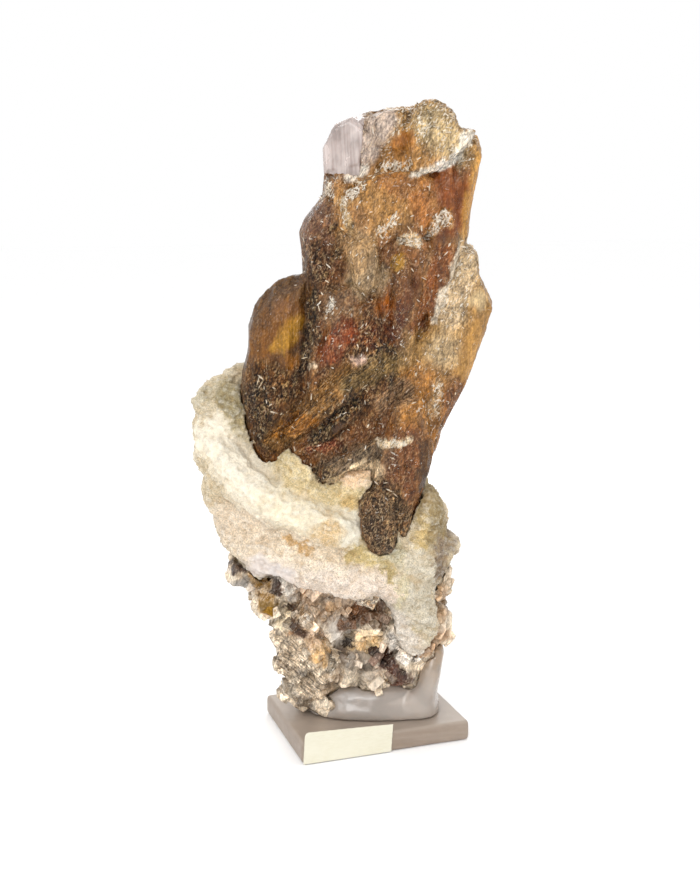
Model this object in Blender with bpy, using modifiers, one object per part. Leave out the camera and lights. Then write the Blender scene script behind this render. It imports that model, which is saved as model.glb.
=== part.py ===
"""A selenite specimen on its stand, at real size.

Amber selenite crystals stand in a pale earthy crust, which sits on a lump of broken gypsum rock. The
rock is set in a low mound of resin on a rectangular stone slab, with a paper label on the slab's front.

The part's frame is the slab's: +X along its front edge, +Y to the back, +Z up, with the origin at the
centre of its underside. The specimen is turned on the slab, so it has a frame of its own, parented to
an empty: "across" runs to the right as its best side is seen, "deep" runs away from the viewer, and
"height" is the height above the table. Every size below is in millimetres.
"""

import itertools
import math
import random

import bmesh
import bpy
from mathutils import Matrix, Quaternion, Vector

MM = 0.001  # one millimetre in scene units

# The stand
SLAB_WIDTH = 60.0
SLAB_DEPTH = 45.0
SLAB_THICKNESS = 7.0
SLAB_EDGE_RADIUS = 1.0
SLAB_EDGE_SEGMENTS = 3
SLAB_SHARP_ANGLE = math.radians(40)
LABEL_WIDTH = 31.5
LABEL_HEIGHT = 11.0  # at its left end
LABEL_RIGHT_HEIGHT = 9.7  # as it was cut by hand
LABEL_SLANT = 0.6  # by which each end leans to the right
LABEL_THICKNESS = 0.3
LABEL_CORNER_CUT = 1.2
LABEL_CORNER_WAIST = 0.3  # of that cut, where the worn corner bulges
LABEL_LIFT = 0.4  # of its lower edge above the table
LABEL_INSET = 0.2  # from the slab's left side

# The specimen
SPECIMEN_TURN = math.radians(-19.0)  # of its best side from the slab's front
CLEARANCE = 0.3  # between pieces that touch
ROUGH_CLEARANCE = 0.55  # the same, round the rough crust
SHARPEST_SHELL = 2.0  # times the clearance, the most that a sharp corner moves out
CRUST_TRIANGLES = 1800
CRUST_VOXEL = 1.2
CRUST_SMOOTHING = 4
RING_POINTS = 20
SECTION_SQUARENESS = 2.6  # 2 is an ellipse, and more is squarer
ROLL_RESOLUTION = 3  # of a ridge's round section
PATH_RESOLUTION = 5  # of a ridge's path, between its points
MERGE_DISTANCE = 0.002
SHORTEST_EDGE = 0.005

# The crystals. Their outlines are (across, height).
# Each crystal is (outline, layers, turn, lean). A layer is (deep, scale): the outline's size at that
# depth, from the front to the back. Turn is about the vertical, and lean tips the top backwards.
CRYSTALS = {
    "main_column": (
        [
            (-13, 196), (-12.8, 202), (-9.5, 206.5), (0, 210.5), (10, 212.3), (19, 213.4),
            (27.5, 207.5), (35, 203.5), (36.5, 198), (34, 183), (31, 160), (25, 138), (17, 112),
            (12, 86), (-12, 84), (-26, 112), (-20, 150), (-21, 173), (-14.5, 184),
        ],
        [(-10.5, 0.80), (-7, 0.95), (1, 1.0), (8, 0.94), (12.5, 0.74)],
        0, 0,
    ),
    "right_column": (
        [(25, 196), (30, 203), (35.5, 203.5), (37.3, 199), (35, 187), (32.4, 168), (27, 148),
         (20, 132), (15, 136), (18, 160), (22, 180)],
        [(-12.5, 0.55), (-9, 0.88), (-1, 1.0), (6, 0.85)],
        0, 0,
    ),
    "top_plate": (
        [(13.5, 190), (21, 191), (27.5, 195.5), (32, 200), (34, 204), (29, 204.5),
         (26.5, 210.5), (20, 213.9), (15.5, 212.3), (11.5, 203)],
        [(-15.5, 0.86), (-14, 0.98), (-4, 1.0)],
        0, -3,
    ),
    "top_step": (
        [(2, 199), (12, 197), (14, 205), (12, 211.5), (6, 210.5), (1, 207)],
        [(-13, 0.78), (-11.5, 0.97), (-3, 1.0)],
        -10, 3,
    ),
    "clear_window": (
        [(-13.2, 190.5), (-13.6, 199), (-9.5, 206.5), (-4, 208.8), (1.5, 204), (-1, 192.5)],
        [(-10.8, 0.82), (-8.8, 1.0), (4, 0.9)],
        -8, 0,
    ),
    "centre_plate": (
        [(-9.5, 175), (-7, 185.5), (2.5, 190.5), (14, 192.5), (25, 188), (24, 180),
         (18, 170), (9, 171), (2, 165), (-4, 170.5)],
        [(-15, 0.84), (-13.2, 0.98), (-5, 1.0)],
        5, 4,
    ),
    "lower_plate": (
        [(4, 171), (17, 173), (23, 168), (21, 150), (12, 132), (3, 128), (-2, 140), (1, 156)],
        [(-13.8, 0.78), (-12, 0.96), (-4, 1.0)],
        -6, -3,
    ),
    "pale_block": (
        [(-6, 168), (-2, 172), (3.5, 170), (4.5, 163), (3, 155), (-0.5, 151), (-4.5, 156)],
        [(-17, 0.72), (-14.5, 0.98), (-5, 1.0)],
        0, 5,
    ),
    "dark_step": (
        [(-14.6, 184), (-20, 176.3), (-21.4, 172.5), (-20.4, 163), (-20.2, 157), (-10, 152),
         (-5, 160), (-9, 174)],
        [(-9.5, 0.72), (-6, 0.96), (3, 1.0), (9, 0.7)],
        10, 0,
    ),
    "left_lobe": (
        [(-18, 160), (-25.1, 158.2), (-29.5, 156.4), (-34, 152), (-37.2, 147.5), (-38.8, 142),
         (-39, 135), (-40.5, 128), (-41.8, 119), (-40, 104), (-34, 90), (-22, 88), (-20, 110),
         (-19, 128), (-17, 146)],
        [(-11, 0.50), (-8, 0.80), (-2, 1.0), (7, 0.92), (12, 0.6)],
        -6, 0,
    ),
    "middle_mass": (
        [(-18, 156), (-4, 160), (12, 150), (18, 138), (13, 118), (8, 90), (-8, 84),
         (-26, 86), (-27, 104), (-20, 124), (-15, 141)],
        [(-16, 0.62), (-13, 0.88), (-5, 1.0), (6, 0.95)],
        0, 0,
    ),
    "right_blade": (
        [(31.2, 168), (33.8, 168.8), (35.6, 166), (36.8, 160), (39.2, 154.5), (41.2, 150),
         (39.4, 143), (35, 130), (29.5, 117), (24, 106.5), (21, 97.5), (17.5, 83), (13, 71),
         (4, 70), (1, 80), (4, 92), (5, 107), (8, 126), (15, 137), (21, 146), (25, 158.5)],
        [(-14.5, 0.70), (-12, 0.94), (-5, 1.0), (2, 0.8)],
        4, 0,
    ),
    "stem": (
        [(4.5, 107), (9, 119), (18, 122), (22, 104), (19.5, 92), (16, 84), (13, 70), (4, 68),
         (0.5, 80), (1.5, 94)],
        [(-18.8, 0.78), (-16.6, 0.97), (-8, 1.0)],
        0, 8,
    ),
    "root": (
        [(0, 91), (5, 92.5), (9, 87), (10.5, 76), (9, 68.5), (4, 67), (0.5, 70), (-2, 77),
         (-2.5, 86)],
        [(-23, 0.58), (-21.6, 0.86), (-10, 1.0)],
        -6, 3,
    ),
    "left_lath": (
        [(-17, 149), (-13, 153), (-9, 134), (-14, 110), (-21, 106), (-19, 128)],
        [(-15.5, 0.74), (-13.5, 1.0), (-6, 1.0)],
        8, -2,
    ),
    "red_lath": (
        [(-2, 150), (3.5, 153), (6, 134), (2.5, 118), (-3, 121), (-4.5, 136)],
        [(-17.3, 0.75), (-15, 1.0), (-8, 1.0)],
        -7, 2,
    ),
    "middle_lath": (
        [(8, 163), (13, 166), (17, 150), (14.5, 128), (9, 122), (7, 146)],
        [(-16.6, 0.74), (-14.2, 1.0), (-6, 1.0)],
        6, 0,
    ),
    "column_lath": (
        [(22, 190), (27, 194), (29.5, 172), (25, 146), (20, 141), (20, 166)],
        [(-14.3, 0.76), (-12.4, 1.0), (-5, 1.0)],
        -5, 0,
    ),
    "upper_splinter": (
        [(-27, 108), (-23.5, 106.5), (-12, 114), (-2, 121.5), (5, 129), (3, 133), (-6, 128),
         (-16, 119.5)],
        [(-18.5, 0.80), (-16.5, 1.0), (-9, 1.0)],
        0, 0,
    ),
    "lower_splinter": (
        [(-24, 101.5), (-20, 101), (-9, 108.5), (0, 117), (-1.5, 120.5), (-13, 110.5)],
        [(-18, 0.80), (-16.5, 1.0), (-9, 1.0)],
        0, 0,
    ),
    "heel_splinter": (
        [(-16, 92), (-3, 97.5), (4, 101), (5, 108), (-6, 103), (-15, 97.5)],
        [(-20.5, 0.75), (-18, 1.0), (-9, 1.0)],
        0, 0,
    ),
    "back_blade": (
        [(-10, 196), (2, 205), (14, 206), (24, 196), (22, 170), (14, 140), (4, 110),
         (-14, 96), (-26, 104), (-24, 132), (-16, 165)],
        [(4, 1.0), (14, 0.9), (17, 0.7)],
        7, -2,
    ),
    "back_shard": (
        [(2, 178), (14, 172), (22, 150), (20, 124), (10, 92), (-4, 90), (-6, 118), (-2, 150)],
        [(8, 1.0), (18.5, 0.82), (21, 0.55)],
        -9, -4,
    ),
    "back_lath": (
        [(-20, 152), (-14, 158), (-9, 140), (-13, 112), (-22, 98), (-28, 106), (-24, 130)],
        [(7, 1.0), (16, 0.84), (18.5, 0.6)],
        -4, 2,
    ),
}

# The crust. Its sections are (height, left, right, front, back).
CUP_SECTIONS = [
    (51, -4, 24, -13, 16),
    (55, -26, 27, -17, 19),
    (60, -43, 28.5, -19, 21),
    (66, -48, 29, -20, 23),
    (73, -52.2, 27.5, -20, 24),
    (80, -52.4, 25.5, -19.5, 24.5),
    (87, -51, 21.5, -17.5, 24.5),
    (93, -51.5, 19, -14, 24),
    (98, -50, 13, -9, 22),
    (104, -47, 2, -1, 20),
]
# Each ridge is a tapering roll: its path as (across, deep, height, radius).
CRUST_RIDGES = {
    "rim": [(-37, 8, 127, 2), (-41, 7.5, 124, 3.4), (-47.5, 6, 121.5, 4.2),
            (-52.7, 3, 118, 4.8), (-53.5, -1, 109, 5.3), (-52.7, -5, 99, 5.5),
            (-48.4, -8, 88, 4.6), (-47.5, -8, 79, 5)],
    "lip": [(-52.5, -3, 108, 4), (-47.5, -11, 97, 6.4), (-37.5, -16, 88.5, 7.2),
            (-22, -19.5, 81, 7), (-11, -21, 77, 6.6), (-5, -20.5, 74.5, 5), (-2, -19.5, 73, 2.5)],
    "lower_band": [(-47, -6, 74, 4), (-42, -10, 70, 6.6), (-33, -14, 68, 7.4),
                   (-19, -17, 64, 7.6), (-5, -17.5, 60, 7.4), (3, -16.5, 58.5, 5.5),
                   (7, -15, 58, 3)],
    "flow": [(10, -11, 66, 7), (14, -12, 57, 8.6), (16, -11.5, 47, 8.2), (17, -11, 38, 6.6),
             (15.5, -10.5, 32, 4.4), (15, -10, 29, 2.5)],
    "back_wall": [(-46, 9, 113, 6), (-34, 17, 106, 7.5), (-14, 21, 97, 8), (6, 20.5, 90, 8),
                  (18, 14, 86, 6.5)],
}
# Each lump is (across, deep, height) and its three radii.
CRUST_LUMPS = [
    ((-45, 0, 106), (8.5, 8.5, 16.5)),
    ((18.5, -6, 78), (8, 10, 11.5)),
    ((15.5, -12, 65), (8, 8.5, 9)),
    ((27, 2, 65), (6.3, 8, 5.2)),
    ((20, 10, 72), (9, 10, 14)),
    ((-3, -12, 90), (9, 7, 7)),
    ((-22, -10, 94), (7.5, 8.5, 9)),
]
CRUST_LUMP_SIZE = 11.0
CRUST_LUMP_HEIGHT = 2.4
CRUST_PIT_SIZE = 3.6
CRUST_PIT_HEIGHT = 1.1

# The rock. Its sections are like the crust's.
ROCK_SECTIONS = [
    (7.6, -23, 3, -2, 8),
    (12, -24.5, 18, -4.5, 10.5),
    (18, -26, 20.5, -6.5, 12.5),
    (25, -27.5, 22, -8.5, 14.5),
    (32, -27, 23.5, -9.5, 15.5),
    (40, -30, 24, -10.5, 16.5),
    (48, -35, 23.5, -11.5, 17.5),
    (56, -40, 24, -12.5, 17.5),
    (64, -40, 25, -12, 18),
    (70, -34, 20, -8, 15),
]
# Cleavage slabs that stand out of the rock: the place (across, deep, height) of the centre, the size
# (length, thickness, width), and the turns about the deep, vertical and across axes in degrees.
ROCK_SLABS = [
    ((-22.5, -8, 23), (20, 7, 6.5), (38, 8, 10)),
    ((-19.5, -8.5, 14.5), (20, 7, 6.5), (36, 12, -8)),
    ((-24, -4, 13), (11, 8, 5), (34, 0, 0)),
    ((-15, -12, 29), (14, 7, 9), (52, -10, 15)),
    ((-42, -5, 57.5), (10, 10, 7), (12, 20, 0)),
    ((-43, 1, 60.5), (7, 8, 7), (-35, 0, 20)),
    ((27, 2, 37), (5, 10, 12), (0, 8, 0)),
    ((26, 2, 54), (5.5, 11, 12), (10, 0, 0)),
    ((-34, -8, 48.5), (8, 8, 9), (25, 30, 0)),
    ((-27.5, -3, 34), (9, 10, 7), (-30, 15, 10)),
]
SLAB_OF_CLEAVAGE_CHAMFER = 0.9
CHIP_ROWS = 7
CHIPS_PER_ROW = 9
CHIP_LOWEST, CHIP_HIGHEST = 20.0, 58.0
CHIP_STRAY = 2.0  # up or down from its row
CHIP_LENGTH = (8.5, 13.5)
CHIP_SHARES = (1.0, 0.75, 0.55)  # of the length, for its three sides
CHIP_BREAK = 0.16  # of the length, by which each corner has broken away
CHIP_DEPTH = 0.12  # of the length, that its centre lies inside the rock's core
CHIP_SEED = 1

# The resin
MOUND_CENTRE = (2.5, 2.5)  # across, deep
MOUND_SECTIONS = [  # (height above the slab, reach across, reach deep, shift across)
    (0.0, 23.5, 15.5, 0),
    (1.2, 23.9, 15.9, 0),
    (3.0, 23.4, 15.4, 0),
    (5.0, 22.5, 14.5, 0.3),
    (7.4, 21.6, 13.6, 0.7),
    (9.4, 20.2, 12.3, 1.3),
    (10.8, 18.0, 10.4, 2.0),
    (11.6, 15.0, 8.0, 2.5),
]
SHOULDER_SECTIONS = [  # like the crust's
    (7.3, 5, 26, -12, 12),
    (13, 10, 25, -12.5, 12),
    (19, 16, 25.6, -12, 11),
    (25, 18.5, 26.8, -10.5, 9),
    (29, 20, 27.4, -9, 7),
    (31, 21.5, 26.6, -7, 5),
]

FINISHES = {  # (red, green, blue), roughness
    "selenite_crystals": ((0.42, 0.20, 0.06), 0.25),
    "gypsum_crust": ((0.84, 0.74, 0.55), 0.9),
    "rubble_rock": ((0.50, 0.40, 0.31), 0.7),
    "setting_resin": ((0.60, 0.56, 0.51), 0.2),
    "stone_slab": ((0.62, 0.55, 0.51), 0.35),
    "paper_label": ((0.93, 0.90, 0.74), 0.85),
}


def start_scene():
    """Empties the scene, and returns the specimen's collection and one for what is used up."""
    for obj in list(bpy.data.objects):
        bpy.data.objects.remove(obj, do_unlink=True)
    root = bpy.context.scene.collection
    parts = bpy.data.collections.new("selenite_specimen")
    root.children.link(parts)
    workshop = bpy.data.collections.new("cutters")
    workshop.hide_render = True
    root.children.link(workshop)
    return parts, workshop


def shade(obj, finish):
    """Gives a piece its own material."""
    colour, roughness = FINISHES[finish]
    material = bpy.data.materials.new(finish)
    material.use_nodes = True
    shader = material.node_tree.nodes["Principled BSDF"]
    shader.inputs["Base Color"].default_value = (*colour, 1)
    shader.inputs["Roughness"].default_value = roughness
    shader.inputs["Metallic"].default_value = 0.0
    obj.data.materials.clear()
    obj.data.materials.append(material)


def object_from(bm, name, collection):
    """Turns a bmesh into an object, with its faces pointing out."""
    bmesh.ops.recalc_face_normals(bm, faces=bm.faces)
    mesh = bpy.data.meshes.new(name)
    bm.to_mesh(mesh)
    bm.free()
    obj = bpy.data.objects.new(name, mesh)
    collection.objects.link(obj)
    return obj


def bake(obj):
    """Replaces an object's mesh with the evaluated one, and drops its modifiers."""
    graph = bpy.context.evaluated_depsgraph_get()
    mesh = bpy.data.meshes.new_from_object(obj.evaluated_get(graph))
    obj.modifiers.clear()
    obj.data = mesh
    return obj


def mesh_of(curve, name, collection):
    """Turns a curve object into a closed mesh object, and removes the curve."""
    graph = bpy.context.evaluated_depsgraph_get()
    mesh = bpy.data.meshes.new_from_object(curve.evaluated_get(graph))
    bm = bmesh.new()
    bm.from_mesh(mesh)
    bmesh.ops.remove_doubles(bm, verts=bm.verts, dist=MERGE_DISTANCE * MM)
    obj = object_from(bm, name, collection)
    obj.matrix_world = curve.matrix_world
    bpy.data.objects.remove(curve, do_unlink=True)
    return obj


def layered(name, outline, layers, turn, lean, collection):
    """A flat-faced crystal: its outline, extruded through the layers and scaled at each."""
    centre_across = sum(point[0] for point in outline) / len(outline)
    centre_height = sum(point[1] for point in outline) / len(outline)
    middle = (layers[0][0] + layers[-1][0]) / 2
    bm = bmesh.new()
    ring = [
        bm.verts.new((a - centre_across, layers[0][0] - middle, h - centre_height))
        for a, h in outline
    ]
    front = face = bm.faces.new(ring)
    start = layers[0][1]
    bmesh.ops.scale(bm, vec=(start, 1, start), verts=face.verts)
    for (deep, scale), (next_deep, next_scale) in zip(layers, layers[1:]):
        made = bmesh.ops.extrude_face_region(bm, geom=[face])["geom"]
        if face is not front:
            bm.faces.remove(face)
        face = next(item for item in made if isinstance(item, bmesh.types.BMFace))
        ratio = next_scale / scale
        bmesh.ops.translate(bm, vec=(0, next_deep - deep, 0), verts=face.verts)
        bmesh.ops.scale(bm, vec=(ratio, 1, ratio), verts=face.verts)
    bmesh.ops.triangulate(bm, faces=bm.faces)
    place = (
        Matrix.Translation((centre_across, middle, centre_height))
        @ Matrix.Rotation(math.radians(turn), 4, "Z")
        @ Matrix.Rotation(math.radians(lean), 4, "X")
    )
    bmesh.ops.transform(bm, matrix=Matrix.Scale(MM, 4) @ place, verts=bm.verts)
    return object_from(bm, name, collection)


def on_section(section, share_round):
    """The point that lies a share of the way round a squarish section, anticlockwise from the right."""
    height, left, right, front, back = section
    angle = 2 * math.pi * share_round
    c, s = math.cos(angle), math.sin(angle)
    power = 2 / SECTION_SQUARENESS
    across = (left + right) / 2 + (right - left) / 2 * math.copysign(abs(c) ** power, c)
    deep = (front + back) / 2 + (back - front) / 2 * math.copysign(abs(s) ** power, s)
    return Vector((across, deep, height))


def lofted(name, sections, collection):
    """A lump whose squarish section changes with height, from (height, left, right, front, back)."""
    bm = bmesh.new()
    rings = []
    for section in sections:
        around = [on_section(section, step / RING_POINTS) for step in range(RING_POINTS)]
        rings.append([bm.verts.new(point * MM) for point in around])
    for lower, upper in zip(rings, rings[1:]):
        for i in range(RING_POINTS):
            j = (i + 1) % RING_POINTS
            bm.faces.new((lower[i], lower[j], upper[j], upper[i]))
    bm.faces.new(rings[0][::-1])
    bm.faces.new(rings[-1])
    return object_from(bm, name, collection)


def ridge(name, path, collection):
    """A tapering roll along a smooth path of (across, deep, height, radius)."""
    data = bpy.data.curves.new(name, "CURVE")
    data.dimensions = "3D"
    data.bevel_depth = MM
    data.bevel_resolution = ROLL_RESOLUTION
    data.use_fill_caps = True
    data.resolution_u = PATH_RESOLUTION
    spline = data.splines.new("NURBS")
    spline.points.add(len(path) - 1)
    for point, (across, deep, height, radius) in zip(spline.points, path):
        point.co = (across * MM, deep * MM, height * MM, 1)
        point.radius = radius
    spline.use_endpoint_u = True
    spline.order_u = 3
    curve = bpy.data.objects.new(name, data)
    collection.objects.link(curve)
    return mesh_of(curve, name, collection)


def lump(name, centre, radii, collection):
    """A rounded lump: a ball stretched to three radii."""
    bm = bmesh.new()
    bmesh.ops.create_icosphere(bm, subdivisions=3, radius=MM)
    bmesh.ops.scale(bm, vec=radii, verts=bm.verts)
    bmesh.ops.translate(bm, vec=Vector(centre) * MM, verts=bm.verts)
    return object_from(bm, name, collection)


def chip(name, centre, length, chance, collection):
    """A broken block of gypsum: a brick turned any way, with its corners broken in."""
    turn = Quaternion([chance.gauss(0, 1) for _ in range(4)]).normalized().to_matrix()
    bm = bmesh.new()
    for signs in itertools.product((-1, 1), repeat=3):
        corner = Vector([sign * share / 2 for sign, share in zip(signs, CHIP_SHARES)])
        corner += Vector([chance.uniform(-CHIP_BREAK, CHIP_BREAK) for _ in range(3)])
        bm.verts.new((centre + turn @ corner * length) * MM)
    hull = bmesh.ops.convex_hull(bm, input=bm.verts)
    bmesh.ops.delete(bm, geom=hull["geom_interior"], context="VERTS")
    return object_from(bm, name, collection)


def slab_of_cleavage(name, centre, size, turns, collection):
    """A flat cleavage slab with chamfered edges, tipped in the rock."""
    bm = bmesh.new()
    bmesh.ops.create_cube(bm, size=MM)
    bmesh.ops.scale(bm, vec=size, verts=bm.verts)
    chamfer = SLAB_OF_CLEAVAGE_CHAMFER * MM
    bmesh.ops.bevel(bm, geom=bm.edges, offset=chamfer, segments=1, affect="EDGES")
    about_deep, about_height, about_across = (math.radians(turn) for turn in turns)
    place = (
        Matrix.Translation(Vector(centre) * MM)
        @ Matrix.Rotation(about_deep, 4, "Y")
        @ Matrix.Rotation(about_height, 4, "Z")
        @ Matrix.Rotation(about_across, 4, "X")
    )
    bmesh.ops.transform(bm, matrix=place, verts=bm.verts)
    return object_from(bm, name, collection)


def boolean(obj, others, operation):
    """Joins or cuts an object with several others at once, keeping the others."""
    group = bpy.data.collections.new("operands")
    for other in others:
        group.objects.link(other)
    modifier = obj.modifiers.new(operation.lower(), "BOOLEAN")
    modifier.operation = operation
    modifier.solver = "EXACT"
    modifier.operand_type = "COLLECTION"
    modifier.collection = group
    bake(obj)
    bpy.data.collections.remove(group)
    return obj


def joined(name, pieces, collection):
    """One object that holds the meshes of several, still overlapping, which are kept."""
    bm = bmesh.new()
    for piece in pieces:
        bm.from_mesh(piece.data)
    return object_from(bm, name, collection)


def grown(obj, distance, collection):
    """A copy whose faces have all moved out by the distance, for cutting clearance."""
    bm = bmesh.new()
    bm.from_mesh(obj.data)
    bm.normal_update()
    for vert in bm.verts:
        vert.co += vert.normal * min(vert.calc_shell_factor(), SHARPEST_SHELL) * distance * MM
    return object_from(bm, obj.name + "_grown", collection)


def largest_body(obj):
    """Keeps the largest connected body of a mesh, cleaned of edges with no length."""
    bm = bmesh.new()
    bm.from_mesh(obj.data)
    bmesh.ops.remove_doubles(bm, verts=bm.verts, dist=MERGE_DISTANCE * MM)
    bmesh.ops.dissolve_degenerate(bm, edges=bm.edges, dist=SHORTEST_EDGE * MM)
    bmesh.ops.triangulate(bm, faces=bm.faces)
    left = set(bm.verts)
    bodies = []
    while left:
        body = set()
        reached = [left.pop()]
        while reached:
            vert = reached.pop()
            body.add(vert)
            near = {edge.other_vert(vert) for edge in vert.link_edges} & left
            left -= near
            reached.extend(near)
        bodies.append(body)
    keep = max(bodies, key=len)
    bmesh.ops.delete(bm, geom=[vert for vert in bm.verts if vert not in keep], context="VERTS")
    bm.to_mesh(obj.data)
    bm.free()
    return obj


def add_texture(name, kind, size):
    """A Blender cloud or cell texture for the Displace modifier, of a size in millimetres."""
    texture = bpy.data.textures.new(name, kind)
    texture.noise_scale = size * MM
    return texture


def displace(obj, texture, height):
    """Raises a surface by a texture, evenly out and in about where it was."""
    modifier = obj.modifiers.new("relief", "DISPLACE")
    modifier.texture = texture
    modifier.texture_coords = "LOCAL"
    modifier.strength = 2 * height * MM
    modifier.mid_level = 0.5


def fuse_roughly(obj, voxel, smoothing):
    """Fuses overlapping lumps into one skin, and softens where they meet."""
    remesh = obj.modifiers.new("fuse", "REMESH")
    remesh.mode = "VOXEL"
    remesh.voxel_size = voxel * MM
    soften = obj.modifiers.new("soften", "SMOOTH")
    soften.factor = 0.5
    soften.iterations = smoothing


def thin_to(obj, triangles):
    """Bakes the modifiers, and reduces the mesh to about that many triangles."""
    bake(obj)
    count = sum(len(face.vertices) - 2 for face in obj.data.polygons)
    modifier = obj.modifiers.new("thin", "DECIMATE")
    modifier.ratio = min(1.0, triangles / count)
    modifier.use_collapse_triangulate = True
    return bake(obj)


def build_crystal_solids(workshop):
    """The separate crystals, still overlapping, as a list of objects."""
    return [
        layered(name, outline, layers, turn, lean, workshop)
        for name, (outline, layers, turn, lean) in CRYSTALS.items()
    ]


def build_crystals(solids, parts):
    """The crystals grown into one another as one solid."""
    crystals = joined("selenite_crystals", solids[:1], parts)
    boolean(crystals, solids[1:], "UNION")
    return largest_body(crystals)


def build_crust_lump(name, collection):
    """The earthy crust as one solid lump, with no room cut in it yet."""
    pieces = [lofted("cup", CUP_SECTIONS, collection)]
    pieces += [ridge(key, path, collection) for key, path in CRUST_RIDGES.items()]
    for i, (centre, radii) in enumerate(CRUST_LUMPS):
        pieces.append(lump(f"crust_lump_{i}", centre, radii, collection))
    crust = joined(name, pieces, collection)
    for piece in pieces:
        bpy.data.objects.remove(piece, do_unlink=True)
    fuse_roughly(crust, CRUST_VOXEL, CRUST_SMOOTHING)
    displace(crust, add_texture("crust_lumps", "CLOUDS", CRUST_LUMP_SIZE), CRUST_LUMP_HEIGHT)
    displace(crust, add_texture("crust_pits", "CLOUDS", CRUST_PIT_SIZE), CRUST_PIT_HEIGHT)
    return thin_to(crust, CRUST_TRIANGLES)


def chip_places():
    """Where the loose blocks sit on the rock's core: in rows round it, row by row."""
    for row in range(CHIP_ROWS):
        height = CHIP_LOWEST + (CHIP_HIGHEST - CHIP_LOWEST) * row / (CHIP_ROWS - 1)
        lower = max(section for section in ROCK_SECTIONS if section[0] <= height)
        upper = min(section for section in ROCK_SECTIONS if section[0] > height)
        share = (height - lower[0]) / (upper[0] - lower[0])
        section = [a + (b - a) * share for a, b in zip(lower, upper)]
        middle = Vector(((section[1] + section[2]) / 2, (section[3] + section[4]) / 2, height))
        for place in range(CHIPS_PER_ROW):
            point = on_section(section, (place + 0.5 * (row % 2)) / CHIPS_PER_ROW)
            yield point, (middle - point).normalized()


def build_rock_pieces(workshop):
    """The rock's core, its cleavage slabs and its broken blocks, still overlapping."""
    chance = random.Random(CHIP_SEED)
    pieces = [lofted("rock_core", ROCK_SECTIONS, workshop)]
    for i, (centre, size, turns) in enumerate(ROCK_SLABS):
        pieces.append(slab_of_cleavage(f"rock_slab_{i}", centre, size, turns, workshop))
    for i, (point, inward) in enumerate(chip_places()):
        length = chance.uniform(*CHIP_LENGTH)
        centre = point + inward * CHIP_DEPTH * length
        centre.z += chance.uniform(-CHIP_STRAY, CHIP_STRAY)
        pieces.append(chip(f"rock_chip_{i}", centre, length, chance, workshop))
    return pieces


def build_slab_room(workshop):
    """The block that keeps what stands on the slab clear of its top."""
    bm = bmesh.new()
    bmesh.ops.create_cube(bm, size=1)
    top = SLAB_THICKNESS + CLEARANCE
    side = 2 * SLAB_WIDTH  # ample, whichever way the specimen is turned
    bmesh.ops.scale(bm, vec=Vector((side, side, 2 * top)) * MM, verts=bm.verts)
    return object_from(bm, "slab_room", workshop)


def build_rock(pieces, crust_cutter, parts, workshop):
    """The rock as one solid, hollowed where the crust lies on it and flat where the slab is."""
    rock = joined("rubble_rock", pieces[:1], parts)
    boolean(rock, pieces[1:], "UNION")
    boolean(rock, [crust_cutter, build_slab_room(workshop)], "DIFFERENCE")
    return largest_body(rock)


def build_resin(rock_pieces, parts, workshop):
    """The resin that holds the rock: a low mound, and a lobe that has run up its right side."""
    floor = SLAB_THICKNESS + CLEARANCE
    sections = [
        (
            floor + height,
            MOUND_CENTRE[0] + shift - across,
            MOUND_CENTRE[0] + shift + across,
            MOUND_CENTRE[1] - deep,
            MOUND_CENTRE[1] + deep,
        )
        for height, across, deep, shift in MOUND_SECTIONS
    ]
    resin = lofted("setting_resin", sections, parts)
    boolean(resin, [lofted("shoulder", SHOULDER_SECTIONS, workshop)], "UNION")
    boolean(resin, [grown(piece, CLEARANCE, workshop) for piece in rock_pieces], "DIFFERENCE")
    return largest_body(resin)


def build_slab(parts):
    """The stone slab, with its edges softly rounded."""
    bpy.ops.mesh.primitive_cube_add(size=1, location=(0, 0, SLAB_THICKNESS / 2 * MM))
    slab = bpy.context.object
    slab.name = "stone_slab"
    slab.data.name = "stone_slab"
    slab.data.transform(
        Matrix.Diagonal((SLAB_WIDTH * MM, SLAB_DEPTH * MM, SLAB_THICKNESS * MM, 1))
    )
    bevel = slab.modifiers.new("worn_edges", "BEVEL")
    bevel.width = SLAB_EDGE_RADIUS * MM
    bevel.segments = SLAB_EDGE_SEGMENTS
    slab.data.shade_smooth()
    slab.data.set_sharp_from_angle(angle=SLAB_SHARP_ANGLE)
    for collection in list(slab.users_collection):
        collection.objects.unlink(slab)
    parts.objects.link(slab)
    return slab


def build_label(parts):
    """The paper label on the slab's front, cut by hand, with its upper left corner worn away."""
    left, right = LABEL_SLANT, LABEL_WIDTH
    top = LABEL_HEIGHT
    cut = LABEL_CORNER_CUT
    waist = LABEL_CORNER_WAIST * cut
    corners = [
        (0, 0), (right - LABEL_SLANT, 0), (right, LABEL_RIGHT_HEIGHT), (left + cut, top),
        (left + waist, top - waist), (left, top - cut),
    ]
    data = bpy.data.curves.new("paper_label", "CURVE")
    data.dimensions = "2D"
    data.fill_mode = "BOTH"
    data.extrude = LABEL_THICKNESS / 2 * MM
    spline = data.splines.new("POLY")
    spline.use_cyclic_u = True
    spline.points.add(len(corners) - 1)
    for point, (across, up) in zip(spline.points, corners):
        point.co = (across * MM, up * MM, 0, 1)
    curve = bpy.data.objects.new("paper_label", data)
    curve.location = (
        (LABEL_INSET - SLAB_WIDTH / 2) * MM,
        -(SLAB_DEPTH / 2 + CLEARANCE + LABEL_THICKNESS / 2) * MM,
        LABEL_LIFT * MM,
    )
    curve.rotation_euler = (math.pi / 2, 0, 0)
    parts.objects.link(curve)
    bpy.context.view_layer.update()
    label = mesh_of(curve, "label", parts)
    label.name = "paper_label"
    return label


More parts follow.
